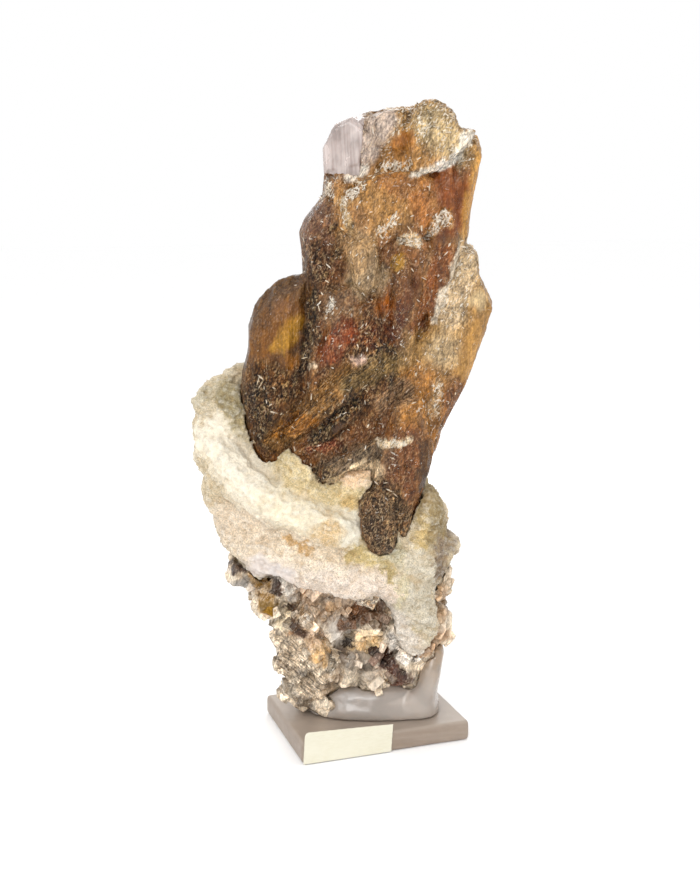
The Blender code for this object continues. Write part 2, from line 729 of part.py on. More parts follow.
def main():
    parts, workshop = start_scene()
    turned = bpy.data.objects.new("specimen_frame", None)
    turned.rotation_euler = (0, 0, SPECIMEN_TURN)
    parts.objects.link(turned)

    crystal_solids = build_crystal_solids(workshop)
    crystals = build_crystals(crystal_solids, parts)

    crust = build_crust_lump("gypsum_crust", parts)
    crust_cutter = grown(crust, ROUGH_CLEARANCE, workshop)
    crystal_cutters = [grown(solid, CLEARANCE, workshop) for solid in crystal_solids]
    boolean(crust, crystal_cutters, "DIFFERENCE")
    largest_body(crust)

    rock_pieces = build_rock_pieces(workshop)
    rock = build_rock(rock_pieces, crust_cutter, parts, workshop)
    resin = build_resin(rock_pieces, parts, workshop)

    for piece in (crystals, crust, rock, resin):
        piece.parent = turned
        shade(piece, piece.name)
    for piece in (build_slab(parts), build_label(parts)):
        shade(piece, piece.name)

    for leftover in list(workshop.objects):
        bpy.data.objects.remove(leftover, do_unlink=True)


main()
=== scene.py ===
"""The looks of a selenite specimen on its stand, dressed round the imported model.

The specimen is turned on its slab, so its places are given in a frame of its own, in millimetres:
across (to the right as its best side is seen), deep (away from the viewer) and height over the table.
"""

from __future__ import annotations

import sys
import logging
import math
from dataclasses import dataclass
from enum import Enum
from typing import Any, Callable

import bpy
import numpy as np
from mathutils import Euler, Matrix, Vector, noise


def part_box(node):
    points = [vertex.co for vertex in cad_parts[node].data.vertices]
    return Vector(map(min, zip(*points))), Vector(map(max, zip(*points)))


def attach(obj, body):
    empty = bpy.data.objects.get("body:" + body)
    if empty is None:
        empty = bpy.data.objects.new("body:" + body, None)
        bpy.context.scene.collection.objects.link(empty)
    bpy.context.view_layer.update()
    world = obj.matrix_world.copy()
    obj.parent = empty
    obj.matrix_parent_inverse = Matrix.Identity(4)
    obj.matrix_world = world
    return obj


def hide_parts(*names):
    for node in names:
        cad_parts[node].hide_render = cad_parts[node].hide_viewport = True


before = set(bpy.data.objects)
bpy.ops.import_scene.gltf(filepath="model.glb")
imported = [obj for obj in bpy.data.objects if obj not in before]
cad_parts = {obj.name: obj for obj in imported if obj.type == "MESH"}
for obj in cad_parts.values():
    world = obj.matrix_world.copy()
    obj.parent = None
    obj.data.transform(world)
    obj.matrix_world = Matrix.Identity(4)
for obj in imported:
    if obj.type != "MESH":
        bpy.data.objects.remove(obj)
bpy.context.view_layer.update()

LOG = logging.getLogger("selenite")
MM = 0.001
SPECIMEN_TURN = math.radians(-19.0)
TO_WORLD = Matrix.Rotation(SPECIMEN_TURN, 4, "Z") @ Matrix.Scale(MM, 4)
SELENITE_IOR = 1.52
TINT = "tint"
SKIN = "skin"

# How patches' edges stray on the front: the share and the size in millimetres of each noise in the sum.
EDGE_NOISES = ((1.0, 5.0), (0.7, 1.9), (0.5, 0.8))
EDGE_SEEDS = (3.1, 27.3)

# How they sway on the sides: the noise's size, the depth where it starts, and that over which it grows.
SWAY_SIZE = 8.0
SWAY_SEEDS = (11.4, 52.8)
SWAY_FROM = -9.0
SWAY_GROWTH = 10.0

# The back's patches are the front's, mirrored about half this place across, and lifted. The last number
# is how sharply the ones give way to the others with depth.
MIRROR_SUM = 3.0
BACK_LIFT = 4.0
BACK_SHARPNESS = 1.2


def linear(hex_colour: str) -> tuple[float, float, float, float]:
    """Turns an sRGB hex colour into linear light.

    Args:
        hex_colour: The colour as "#RRGGBB".

    Returns:
        Red, green, blue and an alpha of 1.
    """
    channels = [int(hex_colour[i:i + 2], 16) / 255 for i in (1, 3, 5)]
    light = [c / 12.92 if c <= 0.04045 else ((c + 0.055) / 1.055) ** 2.4 for c in channels]
    return light[0], light[1], light[2], 1.0


def feed(node: bpy.types.Node, inputs: dict[str | int, Any]) -> None:
    """Sets or links a shader node's inputs.

    Args:
        node: The node.
        inputs: For each input, by name or number, a value, or the output socket to link from.
    """
    for socket, value in inputs.items():
        if isinstance(value, bpy.types.NodeSocket):
            node.id_data.links.new(value, node.inputs[socket])
        else:
            node.inputs[socket].default_value = value


def add_node(
    tree: bpy.types.NodeTree,
    kind: str,
    settings: dict[str, Any] | None = None,
    inputs: dict[str | int, Any] | None = None,
) -> bpy.types.Node:
    """Adds a shader node with its settings, values and links.

    Args:
        tree: The node tree to add it to.
        kind: The node's type, without the "ShaderNode" before it.
        settings: Properties of the node, by name.
        inputs: For each input, by name or number, a value, or the output socket to link from.

    Returns:
        The new node.
    """
    node = tree.nodes.new("ShaderNode" + kind)
    for name, value in (settings or {}).items():
        setattr(node, name, value)
    feed(node, inputs or {})
    return node


class Skin(Enum):
    """How a stretch of stone has broken or weathered: (clear, flaky, granular, fibrous), 0 to 1."""

    GLASSY = (0.75, 0.08, 0.00, 0.00)
    CLOUDY = (0.40, 0.38, 0.12, 0.00)
    FLAKY = (0.32, 0.85, 0.02, 0.00)
    # GLINTING is painted glints: flakiness past 1 strews thick white flakes over the face.
    GLINTING = (0.15, 1.70, 0.10, 0.00)
    SILKY = (0.05, 0.60, 0.00, 0.00)
    SMOKY = (0.20, 0.00, 0.05, 0.00)
    GRANULAR = (0.08, 0.30, 0.90, 0.00)
    FIBROUS = (0.20, 0.22, 0.12, 1.00)
    POWDERY = (0.00, 0.00, 0.25, 0.00)
    EARTHY = (0.00, 0.02, 0.75, 0.00)


@dataclass(frozen=True)
class Patch:
    """A stretch of stone with a colour and skin of its own, in the shape of a rounded bar.

    Attributes:
        name: What the patch is.
        start: Where the bar starts, across and in height, in millimetres.
        end: Where it ends.
        reach: How far it goes from the line between them, in millimetres.
        colour: Its colour.
        skin: Its skin.
        through: Whether it goes right through the stone. If not, the back has it too, mirrored and a
            little higher, so that it is as rich as the front.
        strength: How much of the colour under it is covered, 0 to 1.
        softness: How wide its edge is, as a share of its reach.
    """

    name: str
    start: tuple[float, float]
    end: tuple[float, float]
    reach: float
    colour: str
    skin: Skin
    through: bool = False
    strength: float = 1.0
    softness: float = 0.9


@dataclass(frozen=True)
class Relief:
    """A pattern that raises and sinks a surface.

    Attributes:
        name: What the pattern is.
        size: The pattern's size across, deep and in height, in millimetres.
        height: How far it moves the surface either way, in millimetres.
        stepped: Whether it moves flat cells in steps, as cleavage does, or swells smoothly.
        lean: Its turn about the deep axis, in degrees, that takes its upright to the right.
        group: The vertex group that it is limited to, or none.
    """

    name: str
    size: tuple[float, float, float]
    height: float
    stepped: bool = False
    lean: float = 0.0
    group: str = ""


def make_active(piece: bpy.types.Object) -> None:
    """Selects one object alone, and makes it the one that operators work on."""
    if bpy.context.object and bpy.context.object.mode != "OBJECT":
        bpy.ops.object.mode_set(mode="OBJECT")
    bpy.ops.object.select_all(action="DESELECT")
    piece.select_set(True)
    bpy.context.view_layer.objects.active = piece


def apply_modifiers(piece: bpy.types.Object) -> None:
    """Applies all of a piece's modifiers, in order."""
    make_active(piece)
    for modifier in list(piece.modifiers):
        bpy.ops.object.modifier_apply(modifier=modifier.name)


def settle(piece: bpy.types.Object) -> None:
    """Takes an object's place, turn and scale into its mesh."""
    make_active(piece)
    bpy.ops.object.transform_apply(location=True, rotation=True, scale=True)


def copy_of_node(node: str, name: str) -> bpy.types.Object:
    """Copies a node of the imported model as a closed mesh, to start a piece from.

    Args:
        node: The node's name.
        name: The new piece's name.

    Returns:
        The new piece, at the origin.
    """
    piece = bpy.data.objects.new(name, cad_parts[node].data.copy())
    piece.data.name = name
    piece.data.materials.clear()
    bpy.context.scene.collection.objects.link(piece)
    make_active(piece)
    bpy.ops.object.mode_set(mode="EDIT")
    bpy.ops.mesh.select_all(action="SELECT")
    bpy.ops.mesh.remove_doubles(threshold=0.002 * MM)
    bpy.ops.object.mode_set(mode="OBJECT")
    return piece


def remesh(piece: bpy.types.Object, voxel: float, smoothing: int) -> None:
    """Gives a piece an even fine mesh, and rounds it a little.

    Args:
        piece: The piece, a closed mesh.
        voxel: The mesh's fineness, in millimetres.
        smoothing: How often each point is moved towards its neighbours.
    """
    modifier = piece.modifiers.new("even mesh", "REMESH")
    modifier.mode = "VOXEL"
    modifier.voxel_size = voxel * MM
    if smoothing:
        soften = piece.modifiers.new("soften", "SMOOTH")
        soften.factor = 0.5
        soften.iterations = smoothing
    apply_modifiers(piece)


def raise_relief(piece: bpy.types.Object, relief: Relief) -> None:
    """Displaces a piece's surface by a pattern in the specimen's frame."""
    place = bpy.data.objects.new("relief place", None)
    place.rotation_euler = (
        Matrix.Rotation(SPECIMEN_TURN, 4, "Z") @ Matrix.Rotation(math.radians(relief.lean), 4, "Y")
    ).to_euler()
    place.scale = Vector(relief.size) * MM
    bpy.context.scene.collection.objects.link(place)
    texture = bpy.data.textures.new(relief.name, "VORONOI" if relief.stepped else "CLOUDS")
    texture.noise_scale = 1.0
    if relief.stepped:
        texture.color_mode = "POSITION"
    modifier = piece.modifiers.new(relief.name, "DISPLACE")
    modifier.texture = texture
    modifier.texture_coords = "OBJECT"
    modifier.texture_coords_object = place
    modifier.strength = 2 * relief.height * MM
    modifier.mid_level = 0.5
    modifier.vertex_group = relief.group
    bpy.context.view_layer.update()
    apply_modifiers(piece)
    bpy.data.objects.remove(place)
    bpy.data.textures.remove(texture)


def mesh_rows(piece: bpy.types.Object, what: str = "co") -> np.ndarray:
    """A row of three numbers for each of the piece's points: its place, or its normal."""
    rows = np.empty((len(piece.data.vertices), 3), np.float32)
    piece.data.vertices.foreach_get(what, rows.ravel())
    return rows


def specimen_points(piece: bpy.types.Object) -> np.ndarray:
    """The piece's points in the specimen's frame, in millimetres, as an array of rows."""
    turn = np.array(TO_WORLD.inverted().to_3x3())
    return mesh_rows(piece) @ turn.T


def wander(points: np.ndarray, size: float, upright: float, seed: float) -> np.ndarray:
    """Smooth noise from about -1 to 1 at each point.

    Args:
        points: Points in the specimen's frame, in millimetres.
        size: The noise's size in millimetres.
        upright: How many times longer it is in height.
        seed: A number that moves the noise elsewhere.

    Returns:
        One value for each point.
    """
    shifted = points / (size, size, size * upright) + seed
    return np.array([noise.noise(point) for point in shifted.tolist()])


def hollowness(piece: bpy.types.Object, spread: int) -> np.ndarray:
    """How far each point lies under the surface around it, in millimetres, and less than 0 on a ridge.

    Args:
        piece: The piece.
        spread: How many edges away the surface around a point reaches.

    Returns:
        One value for each point.
    """
    mesh = piece.data
    count = len(mesh.vertices)
    ends = np.empty(len(mesh.edges) * 2, np.int32)
    mesh.edges.foreach_get("vertices", ends)
    first, second = ends.reshape(-1, 2).T
    points = mesh_rows(piece).astype(float)
    meeting = np.bincount(ends, minlength=count).clip(1)
    around = points
    for _ in range(spread):
        total = [
            np.bincount(first, around[second, axis], count)
            + np.bincount(second, around[first, axis], count)
            for axis in range(3)
        ]
        around = np.stack(total, 1) / meeting[:, None]
    return ((around - points) * mesh_rows(piece, "normal")).sum(1) / MM


@dataclass(frozen=True)
class Coat:
    """A piece's colours and skins: a ground, and patches laid over it in order.

    Attributes:
        ground: The colour where there is no patch.
        ground_skin: The skin there.
        patches: The patches, the last on top.
        edge_wander: How far the patches' edges stray on the front, in millimetres.
        side_sway: How much further they sway on the sides and the back, in millimetres.
        streak: How many times longer that straying is in height.
        front_limit: How deep the front goes before the back's patches start, in millimetres.
        hollow: The colour painted into the hollows: painted shade, and partly what has settled there.
        ridge: The colour painted onto the ridges: a painted highlight, and partly where they are
            rubbed.
    """

    ground: str
    ground_skin: Skin
    patches: tuple[Patch, ...]
    edge_wander: float = 1.6
    side_sway: float = 9.0
    streak: float = 1.0
    front_limit: float = 2.0
    hollow: str = "#000000"
    ridge: str = "#FFFFFF"

    def lay_on(self, piece: bpy.types.Object) -> None:
        """Writes the coat to the piece's attributes, and its skins to vertex groups.

        Args:
            piece: The piece, with its final mesh fineness.
        """
        points = specimen_points(piece)
        drift = [
            sum(share * wander(points, size, self.streak, seed + size) for share, size in EDGE_NOISES)
            for seed in EDGE_SEEDS
        ]
        aside = self.side_sway * ((points[:, 1] - SWAY_FROM) / SWAY_GROWTH).clip(0, 1)
        sway = [aside * wander(points, SWAY_SIZE, self.streak, seed) for seed in SWAY_SEEDS]
        across, height = (
            points[:, axis] + self.edge_wander * near + far
            for axis, near, far in zip((0, 2), drift, sway)
        )
        behind = 1 / (1 + np.exp(-(points[:, 1] - self.front_limit) * BACK_SHARPNESS))
        colours = np.tile(linear(self.ground), (len(points), 1))
        skins = np.tile(self.ground_skin.value, (len(points), 1)).astype(float)
        for patch in self.patches:
            weight = self.weight(patch, across, height)
            if not patch.through:
                mirrored = self.weight(patch, MIRROR_SUM - across, height - BACK_LIFT)
                weight = weight * (1 - behind) + mirrored * behind
            weight = (weight * patch.strength)[:, None]
            colours += (np.array(linear(patch.colour)) - colours) * weight
            skins += (np.array(patch.skin.value) - skins) * weight
        self.write(piece, TINT, colours)
        self.write(piece, SKIN, skins)
        for column, group in ((1, "flaky"), (2, "granular"), (3, "fibrous")):
            self.group(piece, group, skins[:, column])

    def paint_shade_highlight_and_wear(self, piece: bpy.types.Object, depth: float, share: float) -> None:
        """Paints shade, with some grime, into the hollows of a piece whose relief is done, and a
        highlight, with some rubbing, onto its ridges.

        Args:
            piece: The piece, already coated.
            depth: The depth of hollow that has the whole effect, in millimetres.
            share: The whole effect, 0 to 1.
        """
        hollow = hollowness(piece, spread=5) / depth
        colours = np.empty(len(piece.data.vertices) * 4, np.float32)
        attribute = piece.data.color_attributes[TINT]
        attribute.data.foreach_get("color", colours)
        colours = colours.reshape(-1, 4)
        # The hollows get painted shade and the ridges a painted highlight, each partly grime or rubbing
        # too.
        for amount, colour in ((hollow, self.hollow), (-hollow, self.ridge)):
            weight = share * amount.clip(0, 1)[:, None]
            colours += (np.array(linear(colour)) - colours) * weight
        attribute.data.foreach_set("color", colours.astype(np.float32).ravel())

    @staticmethod
    def weight(patch: Patch, across: np.ndarray, height: np.ndarray) -> np.ndarray:
        """How much of the patch each place has, 0 to 1."""
        start, end = np.array(patch.start, float), np.array(patch.end, float)
        along = end - start
        length = float(along @ along)
        share = np.zeros_like(across)
        if length:
            share = ((across - start[0]) * along[0] + (height - start[1]) * along[1]) / length
            share = share.clip(0, 1)
        gap = np.hypot(across - start[0] - share * along[0], height - start[1] - share * along[1])
        inside = ((1 + patch.softness / 2 - gap / patch.reach) / patch.softness).clip(0, 1)
        return inside * inside * (3 - 2 * inside)

    @staticmethod
    def write(piece: bpy.types.Object, name: str, values: np.ndarray) -> None:
        """Stores four numbers for each point as a colour attribute."""
        attribute = piece.data.color_attributes.new(name=name, type="FLOAT_COLOR", domain="POINT")
        attribute.data.foreach_set("color", values.astype(np.float32).ravel())

    @staticmethod
    def group(piece: bpy.types.Object, name: str, weights: np.ndarray) -> None:
        """Stores weights, to the nearest twentieth, as a vertex group."""
        group = piece.vertex_groups.new(name=name)
        levels = np.round(weights * 20).astype(int)
        for level in np.unique(levels):
            group.add(np.flatnonzero(levels == level).tolist(), level / 20, "REPLACE")


# Places on the crystals, from the top down. Each is where it lies on the specimen's best side.
CRYSTAL_COAT = Coat(
    ground="#7E5128",
    ground_skin=Skin.CLOUDY,
    streak=2.2,
    # hollow: painted shade, with some grime; ridge: a painted highlight, with some rubbing.
    hollow="#24140A",
    ridge="#D8A868",
    patches=(
        Patch("column", (28, 198), (25, 170), 8.5, "#985408", Skin.GLASSY, through=True),
        Patch("golden rim", (36, 201), (32, 170), 2.6, "#D8A452", Skin.GLASSY, through=True),
        Patch("column foot", (23, 170), (17, 145), 6, "#6C3A10", Skin.GLASSY, through=True),
        Patch("flaky top", (10, 207), (25, 201), 10.5, "#B48F5B", Skin.FLAKY, through=True),
        Patch("bright top", (20, 206), (26, 198), 6, "#CDB58A", Skin.FLAKY),
        Patch("orange pane", (11, 201), (12, 193), 3.2, "#AE7028", Skin.GLASSY),
        Patch("upper left", (-12, 188), (-13, 178), 3.4, "#98704E", Skin.CLOUDY),
        Patch("centre face", (-2, 178), (14, 187), 12.0, "#BA8C50", Skin.CLOUDY),
        Patch("under ledge", (6, 188), (20, 186), 3.6, "#A56A2E", Skin.CLOUDY, strength=0.7),
        Patch("centre golden", (2, 182), (4, 176), 4.0, "#C09254", Skin.CLOUDY, strength=0.8),
        Patch("centre russet", (16, 182), (19, 176), 3.4, "#B4763A", Skin.CLOUDY, strength=0.8),
        Patch("red column", (24.5, 191), (27, 176), 3.6, "#8E4E12", Skin.GLASSY, softness=1.4),
        Patch("centre tan", (-4, 175), (-3, 176), 4.6, "#BE8E58", Skin.CLOUDY),
        # Painted glints on the left of the centre face.
        Patch("centre white", (-8, 182), (-5, 173), 1.5, "#C8AC80", Skin.GLINTING, strength=0.9),
        Patch("window side", (0, 199), (5, 208), 4.4, "#D2C0B2", Skin.CLOUDY, through=True),
        Patch("window foot", (-12, 189.5), (-6, 190), 1.2, "#8E7058", Skin.FLAKY, through=True),
        Patch("window chip", (-5, 191), (-1, 193), 1.7, "#F4E9DA", Skin.SILKY),
        Patch("glints left", (-6, 184), (-2, 188), 1.6, "#A87E4A", Skin.GLINTING),
        Patch("glints middle", (5, 173), (8, 178), 2.0, "#BA905C", Skin.GLINTING),
        Patch("glints right", (20, 172), (25, 178), 2.0, "#B48A58", Skin.GLINTING),
        Patch("glints high", (3, 191), (12, 194), 1.5, "#B58A52", Skin.GLINTING),
        Patch("glints corner", (-13, 188), (-11, 184), 1.4, "#9C7444", Skin.GLINTING),
        # Painted highlights along the broken edge of the ledge.
        Patch("ledge left", (14, 190.5), (23, 193.3), 1.1, "#F4ECDD", Skin.SILKY),
        Patch("ledge middle", (23, 193.3), (29, 197), 1.2, "#FFFAF0", Skin.SILKY),
        Patch("ledge right", (29, 197), (32, 203), 1.3, "#F4ECDD", Skin.SILKY),
        Patch("dark step", (-17, 179), (-17, 163), 6.6, "#78533C", Skin.CLOUDY, through=True),
        Patch("step grain", (-18, 165), (-15, 158), 5.0, "#6A4A36", Skin.GRANULAR, softness=1.6),
        Patch("step spot", (-10, 165), (-7, 171), 1.6, "#523824", Skin.GRANULAR),
        Patch("step hollow", (-11, 173), (-10, 174), 1.3, "#5A3C26", Skin.GRANULAR),
        Patch("centre foot", (9, 167), (18, 164), 6, "#8A5E36", Skin.CLOUDY),
        Patch("glints low", (11, 170), (17, 169), 1.7, "#E0C49C", Skin.GLINTING),
        Patch("pale block", (-3, 169), (-1, 162), 5.2, "#C6A478", Skin.CLOUDY),
        Patch("grey block", (-2, 156), (3, 159), 4.7, "#A8906F", Skin.CLOUDY),
        Patch("yellow spot", (10, 163), (10.5, 163.5), 1.9, "#C89A40", Skin.CLOUDY),
        Patch("lobe", (-29, 152), (-32, 132), 11, "#6E4C20", Skin.GLASSY, through=True),
        Patch("lobe halo", (-25, 146), (-33, 134), 6.2, "#85581A", Skin.GLASSY, through=True),
        # Painted glow of light coming through the lobe.
        Patch("lobe gold", (-22.5, 143.5), (-28, 136), 2.7, "#C2922F", Skin.GLASSY),
        Patch("lobe orange", (-25, 130), (-24, 131), 3, "#A8701E", Skin.GLASSY),
        Patch("lobe foot", (-33, 126), (-25, 121), 4.7, "#5A3812", Skin.GRANULAR, softness=1.7),
        Patch("middle dark", (-6, 122), (6, 138), 10, "#664830", Skin.GRANULAR, softness=1.4),
        Patch("grey clear", (-10, 151), (-9, 149), 5.6, "#8C6A4A", Skin.CLOUDY),
        Patch("grey bright", (-12, 148), (-11.5, 149), 2, "#887664", Skin.GLINTING, strength=0.8),
        Patch("groove top", (-17, 152), (-18, 140), 2.1, "#1D1618", Skin.GRANULAR),
        Patch("groove middle", (-18, 140), (-22, 127), 2.1, "#3A2A24", Skin.GRANULAR),
        Patch("groove foot", (-22, 127), (-27, 120), 1.9, "#44342A", Skin.GRANULAR),
        Patch("dark red", (-5, 141), (4, 140), 4, "#6E361A", Skin.GRANULAR),
        Patch("red patch", (-12, 135), (-7, 141), 3.8, "#9A4A16", Skin.CLOUDY, strength=0.85),
        Patch("red bright", (-14, 134), (-10, 136), 1.5, "#8E4A12", Skin.CLOUDY, strength=0.7),
        Patch("orange right", (6, 149), (7, 148), 3, "#A66420", Skin.CLOUDY),
        Patch("brown right", (11, 146), (12, 136), 5.4, "#64320E", Skin.CLOUDY),
        Patch("dark grain", (6, 133), (9, 127), 4.8, "#2E2220", Skin.GRANULAR),
        Patch("pink spot", (-3, 132), (-2.5, 132.5), 2, "#D8B8A6", Skin.SILKY),
        Patch("pale spot", (-18, 130), (-17, 130.5), 1.2, "#D9C6AC", Skin.SILKY),
        Patch("black silver", (-36, 119), (-33, 106), 5.2, "#2F2A27", Skin.GRANULAR,
              through=True, softness=1.4),
        Patch("laths", (-30, 104), (-6, 127), 4.4, "#936D40", Skin.FIBROUS),
        Patch("laths glow", (-25, 110), (-18, 113), 2.7, "#94601F", Skin.FIBROUS),
        Patch("laths low glow", (-30, 106), (-27, 109), 2, "#9C6820", Skin.FIBROUS),
        Patch("olive fibres", (-6, 125), (9, 132), 3.4, "#7E6844", Skin.FIBROUS),
        Patch("blade", (32, 162), (20, 132), 9.6, "#B9955F", Skin.CLOUDY, through=True),
        Patch("blade top", (31, 164), (27, 148), 5.4, "#DAC09A", Skin.FLAKY, through=True),
        Patch("blade gold", (38, 151), (32, 128), 3.2, "#C89C5A", Skin.GLASSY, through=True),
        Patch("blade gold spot", (36, 151), (36.5, 152), 2.6, "#E2C89A", Skin.GLASSY),
        Patch("blade haze", (25, 137), (25, 134), 5, "#C8AE86", Skin.CLOUDY),
        Patch("blade shadow", (25.5, 167), (17, 144), 2.9, "#8A5222", Skin.CLOUDY),
        # A painted highlight along the blade's left edge.
        Patch("blade crest", (29.3, 168), (21, 145), 0.9, "#F2E4CE", Skin.FLAKY, strength=0.85),
        Patch("blade foot", (18, 124), (16, 106), 7.2, "#B5803D", Skin.CLOUDY, through=True),
        Patch("blade streak", (23, 124), (22, 116), 1.7, "#CDB48E", Skin.GLINTING,
              strength=0.6, softness=1.6),
        Patch("dark fibres", (5, 118), (13, 122), 3.2, "#A08062", Skin.FIBROUS),
        Patch("slot", (-15, 107), (-4, 120), 3.1, "#120B08", Skin.GRANULAR),
        Patch("slot orange", (-10, 110), (-9, 110.5), 1.5, "#4A2E18", Skin.GLASSY),
        Patch("slot red", (-19, 103), (-9, 105), 1.4, "#A05A3E", Skin.GRANULAR),
        Patch("heel", (-12, 97), (6, 103), 4.2, "#7C6C5A", Skin.FIBROUS),
        Patch("heel dark", (-15, 95), (-14, 95.5), 3.2, "#4A4036", Skin.GRANULAR),
        Patch("heel dusted", (-12, 92.5), (2, 94), 2.2, "#F4DDB8", Skin.POWDERY),
        Patch("heel dust", (-5, 95.5), (3, 96.8), 2.9, "#FFE8C4", Skin.POWDERY),
        Patch("stem", (13, 105), (11, 76), 7, "#7F4F28", Skin.CLOUDY),
        Patch("stem edge", (19, 105), (18, 91), 2, "#60401F", Skin.GLASSY),
        Patch("stem line", (4, 105.5), (13, 107.2), 1.2, "#F2DCB8", Skin.GLINTING),
        Patch("root", (2, 88), (7, 71), 6.4, "#735F4C", Skin.GRANULAR, softness=1.4),
        Patch("root right", (9, 86), (12, 74), 4.4, "#866F56", Skin.GRANULAR),
        Patch("root foot", (9, 68), (9.5, 68.5), 3.4, "#8F8D88", Skin.GRANULAR),
    ),
)

CRUST_COAT = Coat(
    ground="#DCCBAC",
    ground_skin=Skin.EARTHY,
    edge_wander=2.6,
    # hollow: painted shade, with some staining; ridge: a painted highlight, with some rubbing.
    hollow="#B08C56",
    ridge="#FFFBF2",
    patches=(
        Patch("left face", (-45, 76), (-22, 66), 9, "#EEDBC2", Skin.EARTHY, through=True),
        Patch("middle face", (-24, 70), (-2, 61), 7, "#FAE8CE", Skin.EARTHY),
        Patch("shelf left", (-41, 113), (-22, 93), 7.4, "#CBB88B", Skin.EARTHY),
        Patch("shelf right", (-22, 93), (-5, 87), 8.1, "#EBD5A4", Skin.EARTHY),
        Patch("shelf end", (-5, 85), (-3, 76), 3, "#E7C88C", Skin.EARTHY),
        Patch("lip left", (-50, 105), (-33, 87), 7.2, "#FFF4DE", Skin.POWDERY),
        Patch("lip right", (-33, 87), (-7, 78.5), 4.7, "#F8EBD0", Skin.POWDERY),
        Patch("lip knob", (-5, 80), (-5, 73), 2.7, "#FFF6E0", Skin.POWDERY),
        Patch("lip ochre", (-13, 77), (-11, 78), 4, "#E3C08A", Skin.EARTHY, strength=0.8),
        Patch("lip shadow", (-27, 74), (-19, 71), 1.5, "#C99A55", Skin.EARTHY, strength=0.8),
        Patch("horn", (-55, 118), (-44, 126), 4, "#DCD0B4", Skin.EARTHY),
        Patch("horn recess", (-49, 122), (-42, 114), 4.2, "#A39470", Skin.EARTHY),
        Patch("peach", (-7, 95), (4, 97), 4, "#FBD8B0", Skin.EARTHY),
        Patch("white rim", (-4, 98), (4, 100), 1.6, "#F6EFE2", Skin.SILKY),
        Patch("lower pink", (-22, 59), (5, 56), 6.7, "#F4E2D0", Skin.EARTHY, through=True),
        Patch("pearly", (-35, 63), (-29, 62), 5.2, "#EADDD4", Skin.SILKY),
        Patch("pearl", (-30, 64), (-29, 64), 2.4, "#E6DCD6", Skin.SILKY),
        Patch("olive", (17, 90), (24, 76), 7, "#A8936A", Skin.EARTHY, through=True),
        Patch("olive gold", (19, 76), (18, 74), 3, "#D9BE86", Skin.EARTHY),
        Patch("green groove", (-4, 70), (9, 66), 3.2, "#E0C990", Skin.EARTHY),
        Patch("flow", (16, 64), (18, 46), 6.4, "#D8CCB4", Skin.EARTHY, through=True),
        Patch("flow green", (12, 60), (11, 52), 1.8, "#DCCFAC", Skin.EARTHY),
        Patch("side groove", (6, 66), (8, 58), 1.8, "#C6B280", Skin.EARTHY),
        Patch("flow foot", (8, 46), (15, 35), 5, "#E6DACA", Skin.EARTHY),
        Patch("edge brown", (25, 67), (26, 57), 3, "#93806B", Skin.GRANULAR, through=True),
        Patch("edge bump", (29, 70), (29.5, 69), 2.6, "#A79680", Skin.GRANULAR, through=True),
        Patch("stem grey", (7, 70), (11, 69), 3, "#CFC4A4", Skin.GRANULAR),
        Patch("flow hole", (17, 42), (17.2, 41.5), 0.9, "#CDBD9C", Skin.GRANULAR),
    ),
)

